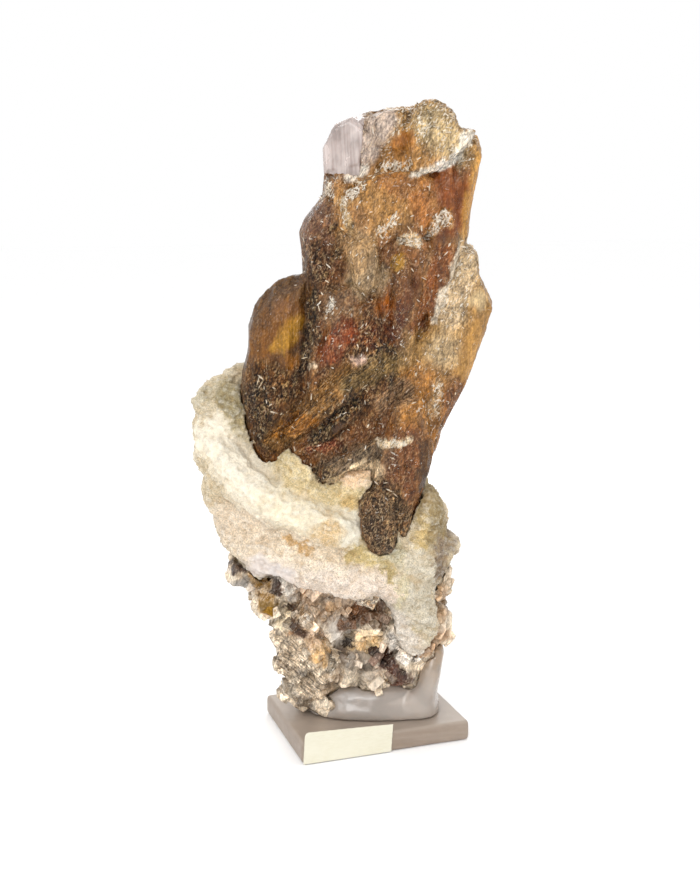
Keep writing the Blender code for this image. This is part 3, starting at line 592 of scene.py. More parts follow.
ROCK_COAT = Coat(
    ground="#EFDFC8",
    ground_skin=Skin.CLOUDY,
    edge_wander=2.0,
    # hollow: painted shade, with some grime; ridge: a painted highlight, with some rubbing.
    hollow="#38281B",
    ridge="#FFFCF6",
    patches=(
        Patch("beige band", (-20, 50), (20, 52), 6, "#C9B296", Skin.GRANULAR, through=True),
        Patch("pale left", (-31, 60), (-24, 56), 4, "#FBF2E6", Skin.CLOUDY),
        Patch("brown corner", (-46, 62.5), (-42, 62), 2.8, "#4A2C16", Skin.SMOKY),
        Patch("grey block", (-43, 55), (-39, 56), 2.6, "#B5ADA4", Skin.GLASSY),
        Patch("ochre left", (-36, 59), (-33, 49), 3.2, "#A07C3C", Skin.CLOUDY),
        Patch("ochre bright", (-33, 49), (-32.5, 48), 2, "#8C6C25", Skin.GLASSY),
        Patch("dark left", (-31, 56), (-30, 55), 2.2, "#482C14", Skin.SMOKY),
        Patch("brown grey", (-21, 52), (-7, 50), 3.6, "#BFA58A", Skin.CLOUDY),
        Patch("beige middle", (-13, 46), (-11, 44), 4, "#AA9175", Skin.CLOUDY),
        Patch("beige low", (-20, 39), (-18, 37), 4, "#DCBE9E", Skin.CLOUDY),
        Patch("olive left", (-27, 43), (-27, 41), 3.4, "#E2D3B6", Skin.CLOUDY),
        Patch("clear middle", (-9, 41), (-8, 38), 4.4, "#DCD2C6", Skin.GLASSY),
        Patch("clear low", (-9, 31), (-8, 30), 3.2, "#8E7E70", Skin.GLASSY),
        Patch("crevice left", (-26, 45), (-22, 38), 2.3, "#5C3E26", Skin.SMOKY),
        Patch("crevice right", (-7, 43), (4, 49), 2.7, "#6E4C30", Skin.SMOKY),
        Patch("crevice end", (4, 49), (5, 43), 2, "#6E4C2C", Skin.SMOKY),
        Patch("golden", (-4, 35), (2, 35), 3.4, "#F2D2A0", Skin.CLOUDY),
        Patch("clear dark", (-6.5, 35), (-5.5, 36), 1.9, "#3A2A1C", Skin.SMOKY),
        Patch("golden small", (-16, 31), (-15, 32), 2.7, "#D2AE7C", Skin.CLOUDY),
        Patch("ochre small", (-26, 36), (-25.5, 36), 2.2, "#96602A", Skin.CLOUDY),
        Patch("laths", (-29, 33), (-16, 19), 5.6, "#D2C0A8", Skin.FIBROUS),
        Patch("lath stripe", (-30, 29), (-20, 24), 1.0, "#8F7F6C", Skin.FIBROUS),
        Patch("white facet", (-14, 27), (-10, 29), 1.8, "#B4A48E", Skin.SILKY),
        Patch("white crystals", (10, 36), (16, 31), 3, "#DAD2C8", Skin.SILKY),
        Patch("black brown", (6, 31), (12, 22), 3.2, "#54290F", Skin.SMOKY),
        Patch("black ochre", (5, 26), (4.5, 25.5), 1.5, "#6A3E14", Skin.SMOKY),
        Patch("brown right", (22, 33), (25, 36), 3.4, "#C4A280", Skin.GLASSY),
        Patch("tan right", (26, 49), (26, 44), 3.6, "#C8AC8C", Skin.GLASSY),
        Patch("grey clear", (-2, 28), (1, 26), 4.4, "#CDBFAE", Skin.GLASSY),
        Patch("dark bottom", (-10, 25), (-12, 17), 2.8, "#BAA388", Skin.CLOUDY),
        Patch("tip", (-22, 15), (-21, 12), 2.7, "#7C6A56", Skin.CLOUDY),
    ),
)


@dataclass(frozen=True)
class Weave:
    """The shared start of a natural stone's material: where patterns lie, and what they are."""

    tree: bpy.types.NodeTree

    def lie(self, size: tuple[float, float, float], lean: float = 0.0) -> bpy.types.NodeSocket:
        """Object coordinates turned to the specimen and measured in a pattern's size.

        Args:
            size: The pattern's size across, deep and in height, in millimetres.
            lean: Its turn about the deep axis, in degrees.

        Returns:
            The vector to feed a pattern whose own scale is 1.
        """
        place = add_node(self.tree, "TexCoord")
        turn = Matrix.Rotation(SPECIMEN_TURN, 4, "Z") @ Matrix.Rotation(math.radians(lean), 4, "Y")
        mapping = add_node(
            self.tree, "Mapping", {"vector_type": "TEXTURE"},
            {"Vector": place.outputs["Object"], "Rotation": turn.to_euler(),
             "Scale": Vector(size) * MM},
        )
        return mapping.outputs["Vector"]

    def clouds(
        self, size: tuple[float, float, float], low: float, high: float, lean: float = 0.0,
        detail: float = 3.0, band: tuple[float, float] = (0.3, 0.7),
    ) -> bpy.types.NodeSocket:
        """Soft noise, spread so that most of it runs from low to high, or crisp in a narrow band."""
        pattern = add_node(
            self.tree, "TexNoise", {"noise_dimensions": "3D"},
            {"Vector": self.lie(size, lean), "Scale": 1.0, "Detail": detail, "Roughness": 0.6},
        )
        return self.spread(pattern.outputs["Fac"], band, (low, high))

    def stray(self, place: bpy.types.NodeSocket, amount: float) -> bpy.types.NodeSocket:
        """Bends a pattern's place by soft noise, so that its cells have no straight sides."""
        drift = add_node(
            self.tree, "TexNoise", {"noise_dimensions": "3D"},
            {"Vector": place, "Scale": 1.7, "Detail": 2.0, "Roughness": 0.6},
        )
        bent = add_node(
            self.tree, "VectorMath", {"operation": "MULTIPLY_ADD"},
            {0: drift.outputs["Color"], 1: (amount, amount, amount), 2: place},
        )
        return bent.outputs[0]

    def cells(self, place: bpy.types.NodeSocket) -> bpy.types.bpy_prop_collection:
        """Three random numbers from 0 to 1 for each of many small cells, as broken grains have."""
        pattern = add_node(
            self.tree, "TexVoronoi", {"feature": "F1"},
            {"Vector": place, "Scale": 1.0, "Randomness": 1.0},
        )
        return add_node(
            self.tree, "SeparateColor", None, {"Color": pattern.outputs["Color"]}
        ).outputs

    def cracks(self, place: bpy.types.NodeSocket, width: float, dark: float) -> bpy.types.NodeSocket:
        """A brightness that falls to the dark value along the edges of the cells.

        Args:
            place: The cells' place.
            width: How far from an edge it reaches, as a share of a cell.
            dark: The brightness on the edge.

        Returns:
            The brightness.
        """
        pattern = add_node(
            self.tree, "TexVoronoi", {"feature": "DISTANCE_TO_EDGE"},
            {"Vector": place, "Scale": 1.0, "Randomness": 1.0},
        )
        return self.spread(pattern.outputs["Distance"], (0.0, width), (dark, 1.0))

    def facets(self, place: bpy.types.NodeSocket) -> bpy.types.NodeSocket:
        """A height whose cells are each a plane tipped its own way, as broken cleavage is."""
        pattern = add_node(
            self.tree, "TexVoronoi", {"feature": "F1"},
            {"Vector": place, "Scale": 1.0, "Randomness": 1.0},
        )
        away = add_node(
            self.tree, "VectorMath", {"operation": "SUBTRACT"},
            {0: place, 1: pattern.outputs["Position"]},
        )
        tip = add_node(
            self.tree, "VectorMath", {"operation": "SUBTRACT"},
            {0: pattern.outputs["Color"], 1: (0.5, 0.5, 0.5)},
        )
        height = add_node(
            self.tree, "VectorMath", {"operation": "DOT_PRODUCT"},
            {0: away.outputs[0], 1: tip.outputs[0]},
        )
        return height.outputs["Value"]

    def slivers(
        self, size: tuple[float, float, float], lean: float, amount: Any,
    ) -> bpy.types.NodeSocket:
        """Thin broken streaks, 0 or 1, more of them as the amount goes from 0 to 1."""
        pattern = add_node(
            self.tree, "TexNoise", {"noise_dimensions": "3D"},
            {"Vector": self.lie(size, lean), "Scale": 1.0, "Detail": 4.0, "Roughness": 0.62,
             "Distortion": 0.5},
        )
        bar = self.spread(amount, (0.0, 1.0), (0.72, 0.53))
        over = self.maths("SUBTRACT", pattern.outputs["Fac"], bar)
        return self.spread(over, (0.0, 0.025), (0.0, 1.0))

    def ramp(self, value: bpy.types.NodeSocket, colours: tuple[str, ...]) -> bpy.types.NodeSocket:
        """A colour from a row of them, evenly spaced, each held until the next."""
        node = add_node(self.tree, "ValToRGB", None, {"Fac": value})
        stops = node.color_ramp
        stops.interpolation = "CONSTANT"
        for index, colour in enumerate(colours):
            if index >= len(stops.elements):
                stops.elements.new(1.0)
            stops.elements[index].position = index / len(colours)
            stops.elements[index].color = linear(colour)
        return node.outputs["Color"]

    def spread(
        self, value: bpy.types.NodeSocket, source: tuple[float, float],
        target: tuple[float, float],
    ) -> bpy.types.NodeSocket:
        """Stretches one range of a value over another, and holds it there."""
        node = add_node(
            self.tree, "MapRange", {"clamp": True},
            {"Value": value, "From Min": source[0], "From Max": source[1],
             "To Min": target[0], "To Max": target[1]},
        )
        return node.outputs["Result"]

    def maths(self, operation: str, first: Any, second: Any) -> bpy.types.NodeSocket:
        """Works out one number from two."""
        return add_node(self.tree, "Math", {"operation": operation}, {0: first, 1: second}).outputs[0]

    def times(self, first: Any, *others: Any) -> bpy.types.NodeSocket:
        """Multiplies numbers."""
        for other in others:
            first = self.maths("MULTIPLY", first, other)
        return first

    def plus(self, first: Any, *others: Any) -> bpy.types.NodeSocket:
        """Adds numbers."""
        for other in others:
            first = self.maths("ADD", first, other)
        return first

    def height(self) -> bpy.types.NodeSocket:
        """The height over the table, in metres."""
        place = add_node(self.tree, "TexCoord").outputs["Object"]
        return add_node(self.tree, "SeparateXYZ", None, {"Vector": place}).outputs[2]

    def coat(self) -> tuple[bpy.types.NodeSocket, tuple[bpy.types.NodeSocket, ...]]:
        """The coat's colour, and how clear, flaky, granular and fibrous it is."""
        tint = add_node(self.tree, "Attribute", {"attribute_name": TINT}).outputs["Color"]
        skin = add_node(self.tree, "Attribute", {"attribute_name": SKIN})
        traits = add_node(self.tree, "SeparateColor", None, {"Color": skin.outputs["Color"]}).outputs
        return tint, (traits[0], traits[1], traits[2], skin.outputs["Alpha"])

    def blend(self, share: Any, first: Any, second: Any) -> bpy.types.NodeSocket:
        """Goes from the first number to the second as the share goes from 0 to 1."""
        node = add_node(self.tree, "Mix", {"data_type": "FLOAT"}, {0: share, 2: first, 3: second})
        return node.outputs[0]

    def tinted(self, share: Any, first: Any, second: Any) -> bpy.types.NodeSocket:
        """Goes from the first colour to the second as the share goes from 0 to 1."""
        node = add_node(self.tree, "Mix", {"data_type": "RGBA"}, {0: share, 6: first, 7: second})
        return node.outputs[2]

    def dimmed(self, colour: Any, amount: Any) -> bpy.types.NodeSocket:
        """Multiplies a colour by a number."""
        if isinstance(colour, tuple):
            colour = colour[:3]
        node = add_node(
            self.tree, "VectorMath", {"operation": "SCALE"}, {"Vector": colour, "Scale": amount}
        )
        return node.outputs[0]


def start_material(name: str) -> tuple[bpy.types.Material, Weave, bpy.types.Node]:
    """Makes a material with its shader linked to the output.

    Args:
        name: The finish's name.

    Returns:
        The material, the helper for its patterns, and the shader node.
    """
    material = bpy.data.materials.new(name)
    material.use_nodes = True
    tree = material.node_tree
    return material, Weave(tree), tree.nodes["Principled BSDF"]


def absorb(material: bpy.types.Material, colour: str, density: float) -> None:
    """Fills a see-through material with plain absorption.

    Args:
        material: The material.
        colour: The colour that passes.
        density: How strongly the rest is taken out, for each metre.
    """
    tree = material.node_tree
    volume = add_node(tree, "VolumeAbsorption", None, {"Color": linear(colour), "Density": density})
    tree.links.new(volume.outputs[0], tree.nodes["Material Output"].inputs["Volume"])


@dataclass(frozen=True)
class BrokenCrystal:
    """Selenite or another crystalline stone, cleaved and broken, coloured by its coat.

    The eye gets a glassy face with fine upright striations, silky white flakes where cleavage has
    lifted, dull grains in the hollows, and light that comes through the thin edges. The white flakes
    and the finest bright grains are partly painted glints.

    Attributes:
        name: The finish's name.
        passes: The colour of light that passes through it.
        density: How strongly the rest is taken out, for each metre.
        clearness: How see-through the clearest places are, 0 to 1.
        palette: The colours of the grains strewn over it.
        depth: The gamma that deepens the coat's colours.
        striation: How strongly the fine upright lines show.
        fibre_lean: The fibres' turn about the deep axis, in degrees.
        grain_size: The grains' size, in millimetres.
        facet_size: The broken facets' size, in millimetres.
        glint_colour: The colour of the finest painted glints.
        fleck_and_glint_colour: The colour of the lifted white flakes, which are partly painted glints.
        variety: How much of the grains' own colours shows.
        bump: The strength of the surface's finest shape.
        grit: How strongly the fine grain shows.
    """

    name: str
    passes: str
    density: float
    clearness: float
    palette: tuple[str, ...]
    depth: float = 1.0
    striation: float = 1.0
    fibre_lean: float = -40.0
    grain_size: float = 0.9
    facet_size: float = 2.4
    glint_colour: str = "#C4AA84"
    fleck_and_glint_colour: str = "#F7EDDC"
    variety: float = 1.0
    bump: float = 0.65
    grit: float = 1.0

    def material(self) -> bpy.types.Material:
        """Builds the material."""
        material, weave, shader = start_material(self.name)
        tint, (clear, flaky, granular, fibrous) = weave.coat()
        tint = add_node(weave.tree, "Gamma", None, {"Color": tint, "Gamma": self.depth}).outputs[0]

        depth = weave.clouds((3.6, 3.6, 9.0), 0.62, 1.40, detail=6.0)
        fine_lines = weave.clouds((0.6, 0.6, 16.0), 1 - 0.26 * self.striation,
                                  1 + 0.24 * self.striation, detail=3.0)
        grains = weave.clouds((self.grain_size / 2,) * 3, 0.40, 1.75, detail=4.0)
        fibres = weave.clouds((5.0, 0.8, 0.6), 0.35, 1.9, lean=self.fibre_lean, detail=4.0,
                              band=(0.36, 0.66))
        shade = weave.times(depth, fine_lines, weave.blend(granular, 1.0, grains),
                            weave.blend(fibrous, 1.0, fibres))
        crisp = weave.clouds((0.5, 0.5, 0.95), 0.18, 1.80, lean=26.0, detail=2.0,
                             band=(0.37, 0.65))
        gritty = weave.times(
            weave.plus(weave.times(flaky, 0.12), 0.5, weave.times(granular, 0.5),
                       weave.times(clear, -0.35)),
            self.grit,
        )
        shade = weave.times(shade, weave.blend(gritty, 1.0, crisp))
        facet = self.facet_size
        coarse_place = weave.stray(weave.lie((facet, facet, 2.2 * facet), lean=14.0), 0.6)
        fine_place = weave.stray(weave.lie((0.45 * facet, 0.45 * facet, 0.8 * facet), lean=30.0), 0.5)
        coarse_cell, fine_cell = weave.cells(coarse_place), weave.cells(fine_place)
        # Random brightness for each broken facet: partly the stone's own tone, partly painted shading
        # of facets tipped to the light, with dark cracks along their edges.
        facet_shade_and_cracks = weave.times(weave.spread(coarse_cell[0], (0.0, 1.0), (0.78, 1.24)),
                            weave.spread(fine_cell[0], (0.0, 1.0), (0.68, 1.34)),
                            weave.cracks(coarse_place, 0.09, 0.45))
        whole = weave.times(clear, 0.8)
        shade = weave.times(shade, weave.blend(whole, facet_shade_and_cracks, 1.0))
        size = self.grain_size
        grain = weave.cells(weave.lie((size, size, 1.5 * size), lean=24.0))
        amount = weave.times(
            weave.plus(weave.times(granular, 0.38), weave.times(flaky, 0.10)),
            self.variety, weave.clouds((5.0, 5.0, 8.0), 0.35, 1.25),
        )
        strewn = weave.tinted(amount, tint, weave.ramp(grain[0], self.palette))
        drifts = weave.clouds((2.4, 2.4, 4.6), 0.12, 1.35, lean=12.0, detail=4.0, band=(0.40, 0.62))
        # Painted glints: the brightest of the crisp grain is tinted towards a pale cream.
        painted_glints = weave.times(weave.spread(crisp, (1.1, 1.6), (0.0, 0.62)), gritty, drifts)
        stone = weave.tinted(painted_glints, weave.dimmed(strewn, shade), linear(self.glint_colour))
        flecks_and_glints = self.flecks_and_glints(weave, flaky)

        broken = weave.plus(weave.times(flaky, 1.5), 0.35, granular)
        facets = weave.plus(weave.times(weave.facets(coarse_place), 2.6),
                            weave.times(weave.facets(fine_place), 1.2))
        height = weave.plus(
            weave.times(facets, broken), weave.times(fine_lines, 0.5),
            weave.times(grains, granular), weave.times(fibres, fibrous), weave.times(flecks_and_glints, 0.5),
        )
        feed(shader, {
            "Base Color": weave.tinted(flecks_and_glints, stone, linear(self.fleck_and_glint_colour)),
            "Roughness": weave.plus(weave.blend(granular, 0.13, 0.50),
                                    weave.clouds((2.2, 2.2, 6.0), -0.05, 0.14)),
            "Transmission Weight": weave.times(clear, self.clearness,
                                               weave.maths("SUBTRACT", 1.0, flecks_and_glints)),
            "Normal": add_node(weave.tree, "Bump", None, {
                "Strength": self.bump, "Distance": 1.1 * MM,
                "Height": height,
            }).outputs[0],
            "IOR": SELENITE_IOR,
            "Specular IOR Level": 0.25,
        })
        absorb(material, self.passes, self.density)
        return material

    @staticmethod
    def flecks_and_glints(weave: Weave, flaky: bpy.types.NodeSocket) -> bpy.types.NodeSocket:
        """Silky white flakes, partly lifted cleavage and partly painted glints: slivers that rise and
        that lie, and small glinting cells.

        Args:
            weave: The helper for the material's patterns.
            flaky: How flaky each place is.

        Returns:
            How much of each place is white flake or painted glint, 0 to 1.
        """
        wanted = weave.times(weave.plus(weave.times(flaky, 0.62), 0.10),
                             weave.clouds((4.5, 4.5, 7.0), 0.45, 1.45))
        rising = weave.slivers((0.6, 0.9, 2.4), 35.0, wanted)
        lying = weave.slivers((2.6, 1.2, 0.8), 14.0, weave.times(wanted, 0.85))
        # Small glinting cells: painted glints.
        glint_cell = weave.cells(weave.stray(weave.lie((0.42, 0.42, 0.9), lean=35.0), 0.8))
        bar = weave.spread(wanted, (0.3, 1.1), (1.0, 0.68))
        glint_shards = weave.times(
            weave.spread(weave.maths("SUBTRACT", glint_cell[1], bar), (0.0, 0.02), (0.0, 1.0)),
            weave.spread(glint_cell[2], (0.0, 1.0), (0.2, 1.0)),
        )
        flecks_and_glints = weave.maths("MAXIMUM", weave.maths("MAXIMUM", rising, lying), glint_shards)
        return weave.times(flecks_and_glints, weave.clouds((0.9,) * 3, 0.35, 1.0))


@dataclass(frozen=True)
class ClearSelenite:
    """A clean cleavage block of selenite, nearly colourless, with fine upright lines inside.

    The eye gets a clear face with grey lines in it, and a milky veil here and there.
    """

    name: str = "clear_selenite"
    colour: str = "#F0E2DC"
    line: str = "#AE9A94"

    def material(self) -> bpy.types.Material:
        """Builds the material."""
        material, weave, shader = start_material(self.name)
        lines = weave.clouds((0.9, 3.0, 22.0), 0.0, 1.0, lean=-4.0, detail=4.0)
        veil = weave.clouds((6.0, 6.0, 9.0), 0.0, 1.0)
        feed(shader, {
            "Base Color": weave.tinted(weave.times(lines, 0.7), linear(self.colour), linear(self.line)),
            "Transmission Weight": weave.blend(veil, 0.70, 0.30),
            "Roughness": weave.blend(veil, 0.10, 0.30),
            "Normal": add_node(weave.tree, "Bump", None, {
                "Strength": 0.25, "Distance": 0.3 * MM,
                "Height": lines,
            }).outputs[0],
            "IOR": SELENITE_IOR,
        })
        absorb(material, "#F2E6E2", 10.0)
        return material


@dataclass(frozen=True)
class EarthyGypsum:
    """Massive earthy gypsum: dry, powdery and pitted, stained in clouds, with dark specks.

    The eye gets a matt face with no gloss, whose grains are drawn coarser than real ones, to show.
    """

    name: str = "earthy_gypsum"
    speck: str = "#7D6844"
    stain: str = "#C7A878"

    def material(self) -> bpy.types.Material:
        """Builds the material."""
        material, weave, shader = start_material(self.name)
        tint, (_, _, granular, _) = weave.coat()

        clouds = weave.clouds((7.0, 7.0, 5.0), 0.88, 1.08)
        mottle = weave.clouds((1.5,) * 3, 0.82, 1.06, detail=6.0)
        grains = weave.clouds((0.5,) * 3, 0.62, 1.28, detail=3.0, band=(0.36, 0.64))
        earth = weave.dimmed(tint, weave.times(clouds, mottle, weave.blend(granular, 1.0, grains)))
        stains = weave.clouds((9.0, 9.0, 4.0), 0.0, 1.0, lean=20.0, detail=5.0)
        stains = weave.times(weave.spread(stains, (0.62, 1.0), (0.0, 0.55)), granular)
        earth = weave.tinted(stains, earth, weave.dimmed(linear(self.stain), mottle))
        specks = weave.clouds((0.8,) * 3, 0.0, 1.0, detail=2.0)
        specks = weave.times(weave.spread(specks, (0.90, 1.0), (0.0, 0.75)), granular)
        earth = weave.tinted(specks, earth, linear(self.speck))

        scales = weave.facets(weave.stray(weave.lie((2.6, 2.6, 1.6), lean=25.0), 0.6))
        height = weave.plus(weave.times(mottle, 5.0), grains, weave.times(scales, 2.0))
        feed(shader, {
            "Base Color": earth,
            "Roughness": weave.blend(granular, 0.78, 0.92),
            "Normal": add_node(weave.tree, "Bump", None, {
                "Strength": 0.6, "Distance": 0.6 * MM,
                "Height": weave.maths("SUBTRACT", height, specks),
            }).outputs[0],
            "IOR": 1.5,
            "Specular IOR Level": 0.25,
        })
        return material


@dataclass(frozen=True)
class PouredResin:
    """Setting resin, poured and left to level: glossy, milky and full of very fine bubbles.

    It is stained from the rock, from stain_from up, in millimetres over the table.
    """

    name: str = "milky_resin"
    colour: str = "#D8CEC4"
    shade: str = "#C0B2A6"
    stain: str = "#B2946C"
    stain_from: float = 16.0

    def material(self) -> bpy.types.Material:
        """Builds the material."""
        material, weave, shader = start_material(self.name)
        milk = weave.clouds((7.0, 7.0, 4.0), 0.0, 1.0, detail=4.0)
        start = self.stain_from * MM
        stained = weave.times(weave.spread(weave.height(), (start, 2 * start), (0.0, 1.0)),
                              weave.clouds((5.0,) * 3, 0.35, 1.0, detail=5.0))
        poured = weave.tinted(milk, linear(self.colour), linear(self.shade))
        feed(shader, {
            "Base Color": weave.tinted(stained, poured, linear(self.stain)),
            "Transmission Weight": weave.blend(milk, 0.62, 0.45),
            "Normal": add_node(weave.tree, "Bump", None, {
                "Strength": 0.12, "Distance": 0.4 * MM,
                "Height": weave.clouds((4.0,) * 3, 0.0, 1.0),
            }).outputs[0],
            "Roughness": 0.26,
            "IOR": 1.54,
        })
        absorb(material, "#DCCDBE", 12.0)
        return material


@dataclass(frozen=True)
class SawnAlabaster:
    """A sawn and rubbed plinth of translucent stone: satin, mauve grey, with faint cloudy bands.

    From the height top up, in millimetres, it is painted paler: partly a thin coat of resin wiped over
    it, partly painted light on its top face.
    """

    name: str = "sawn_alabaster"
    colour: str = "#A69586"
    band: str = "#8D7A69"
    top_film_and_light: str = "#A89A8D"
    top: float = 6.2

    def material(self) -> bpy.types.Material:
        """Builds the material."""
        material, weave, shader = start_material(self.name)
        bands = weave.clouds((26.0, 16.0, 3.5), 0.0, 1.0, lean=6.0, detail=4.0)
        cloud = weave.clouds((5.0,) * 3, 0.94, 1.05, detail=5.0)
        stone = weave.tinted(weave.times(bands, 0.8), linear(self.colour), linear(self.band))
        # The paler top: painted light on the top face, partly a thin coat of resin too.
        top_film_and_light = weave.times(
            weave.spread(weave.height(), (self.top * MM, (self.top + 0.7) * MM), (0.0, 1.0)),
            weave.clouds((9.0,) * 3, 0.75, 1.0, detail=4.0),
        )
        stone = weave.tinted(top_film_and_light, stone, linear(self.top_film_and_light))
        feed(shader, {
            "Base Color": weave.dimmed(stone, cloud),
            "Transmission Weight": weave.blend(top_film_and_light, weave.blend(bands, 0.24, 0.14), 0.04),
            "Roughness": weave.clouds((3.0,) * 3, 0.30, 0.44),
            "Normal": add_node(weave.tree, "Bump", None, {
                "Strength": 0.06, "Distance": 0.2 * MM,
                "Height": weave.clouds((0.6, 9.0, 0.6), 0.0, 1.0),
            }).outputs[0],
            "IOR": 1.53,
        })
        absorb(material, "#B8A79E", 45.0)
        return material


@dataclass(frozen=True)
class LabelPaper:
    """Uncoated cream paper: matt, with fibres just seen and faint cloudy patches of age."""

    name: str = "cream_paper"
    colour: str = "#DAD6C4"
    fibre: str = "#C8C0A4"

    def material(self) -> bpy.types.Material:
        """Builds the material."""
        material, weave, shader = start_material(self.name)
        pulp = weave.clouds((2.4, 2.4, 0.5), 0.0, 1.0, detail=5.0)
        age = weave.clouds((11.0, 11.0, 7.0), 0.0, 0.6)
        feed(shader, {
            "Base Color": weave.tinted(weave.times(pulp, age), linear(self.colour),
                                       linear(self.fibre)),
            "Normal": add_node(weave.tree, "Bump", None, {
                "Strength": 0.15, "Distance": 0.08 * MM,
                "Height": pulp,
            }).outputs[0],
            "Roughness": 0.86,
            "Specular IOR Level": 0.3,
        })
        return material


@dataclass(frozen=True)
class SilkyFlake:
    """Lifted cleavage flakes of selenite: thin, white and silky, bright where they catch light."""

    name: str = "silky_flake"
    colour: str = "#F7F0E4"
    warm: str = "#DDBF8E"

    def material(self) -> bpy.types.Material:
        """Builds the material."""
        material, weave, shader = start_material(self.name)
        share = weave.clouds((4.0,) * 3, 0.0, 1.0)
        streak = weave.clouds((0.4, 0.4, 3.0), 0.86, 1.08)
        colour = weave.tinted(share, linear(self.colour), linear(self.warm))
        feed(shader, {
            "Base Color": weave.dimmed(colour, streak),
            "Roughness": weave.blend(share, 0.18, 0.34),
            "Transmission Weight": 0.25,
            "IOR": SELENITE_IOR,
        })
        return material


@dataclass(frozen=True)
class PlainPaint:
    """The studio floor: plain matt white."""

    name: str = "studio_white"
    colour: str = "#FFFFFF"

    def material(self) -> bpy.types.Material:
        """Builds the material."""
        material, weave, shader = start_material(self.name)
        tone = weave.clouds((400.0,) * 3, 0.998, 1.0)
        feed(shader, {
            "Base Color": weave.dimmed(linear(self.colour), tone),
            "Roughness": 0.9,
            "Specular IOR Level": 0.1,
        })
        return material


def keep_inside(piece: bpy.types.Object, node: str) -> None:
    """Holds a piece's points within the box of the node that it dresses."""
    low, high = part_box(node)
    points = mesh_rows(piece).clip(np.array(low), np.array(high))
    piece.data.vertices.foreach_set("co", points.astype(np.float32).ravel())
    piece.data.update()


def dress(piece: bpy.types.Object, material: bpy.types.Material, slot: str,
          replaced: str = "") -> None:
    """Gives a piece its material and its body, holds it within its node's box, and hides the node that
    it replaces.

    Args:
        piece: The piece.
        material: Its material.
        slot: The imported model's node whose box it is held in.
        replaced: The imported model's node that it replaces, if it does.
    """
    keep_inside(piece, slot)
    piece.data.materials.clear()
    piece.data.materials.append(material)
    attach(piece, "root")
    if replaced:
        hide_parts(replaced)
    triangles = sum(len(face.vertices) - 2 for face in piece.data.polygons)
    LOG.info("%s: %d triangles", piece.name, triangles)


def scatter(
    model: bpy.types.Object, name: str, host: bpy.types.Object, count: int, seed: int,
    chance: Callable[[np.ndarray, np.ndarray], np.ndarray],
    sizes: tuple[float, float], sink: float, tumble: float, tone_shade_and_glint_range: tuple[float, float] = (1, 1),
) -> bpy.types.Object:
    """Sets copies of a small model on a piece's surface, and joins them into one piece.

    Args:
        model: The model, a millimetre or so across and lying flat; it is used up.
        name: The joined piece's name.
        host: The piece whose surface carries them.
        count: How many copies.
        seed: The seed of the draw.
        chance: Gives each point's weight in the draw, from its place and its skin.
        sizes: The smallest and largest scale of a copy.
        sink: How deep each copy sits in the surface, as a share of its scale in millimetres.
        tumble: How far a copy may tip from the surface, in degrees.
        tone_shade_and_glint_range: The darkest and lightest that a copy may be, times its host's colour
            there: partly its own tone, partly painted shade and painted glints.

    Returns:
        The joined piece.
    """
    draw = np.random.default_rng(seed)
    tints, skins = (
        np.empty((len(host.data.vertices), 4), np.float32) for _ in (TINT, SKIN)
    )
    host.data.color_attributes[TINT].data.foreach_get("color", tints.ravel())
    host.data.color_attributes[SKIN].data.foreach_get("color", skins.ravel())
    weights = chance(specimen_points(host), skins)
    chosen = draw.choice(len(weights), count, replace=False, p=weights / weights.sum())
    copies = []
    for index in chosen:
        vertex = host.data.vertices[int(index)]
        upright = vertex.normal.to_track_quat("Z", "Y").to_matrix().to_4x4()
        tip = Euler((math.radians(draw.uniform(-tumble, tumble)),
                     math.radians(draw.uniform(-tumble, tumble)), draw.uniform(0, 2 * math.pi)))
        scale = draw.uniform(*sizes)
        stretch = Matrix.Diagonal(
            (scale * draw.uniform(0.5, 1.3), scale * draw.uniform(0.6, 2.0), scale, 1)
        )
        place = vertex.co - vertex.normal * sink * scale * MM
        copy = model.copy()
        copy.data = model.data.copy()
        copy.data.transform(Matrix.Translation(place) @ upright @ tip.to_matrix().to_4x4() @ stretch)
        corners = (len(copy.data.vertices), 1)
        # Each copy is made darker or lighter: partly its own tone, partly painted shade and painted
        # glints.
        Coat.write(copy, TINT, np.tile(tints[index] * draw.uniform(*tone_shade_and_glint_range), corners))
        Coat.write(copy, SKIN, np.tile(skins[index], corners))
        bpy.context.scene.collection.objects.link(copy)
        copies.append(copy)
    make_active(copies[0])
    for copy in copies:
        copy.select_set(True)
    bpy.ops.object.join()
    joined = bpy.context.object
    joined.name = joined.data.name = name
    bpy.data.objects.remove(model)
    return joined


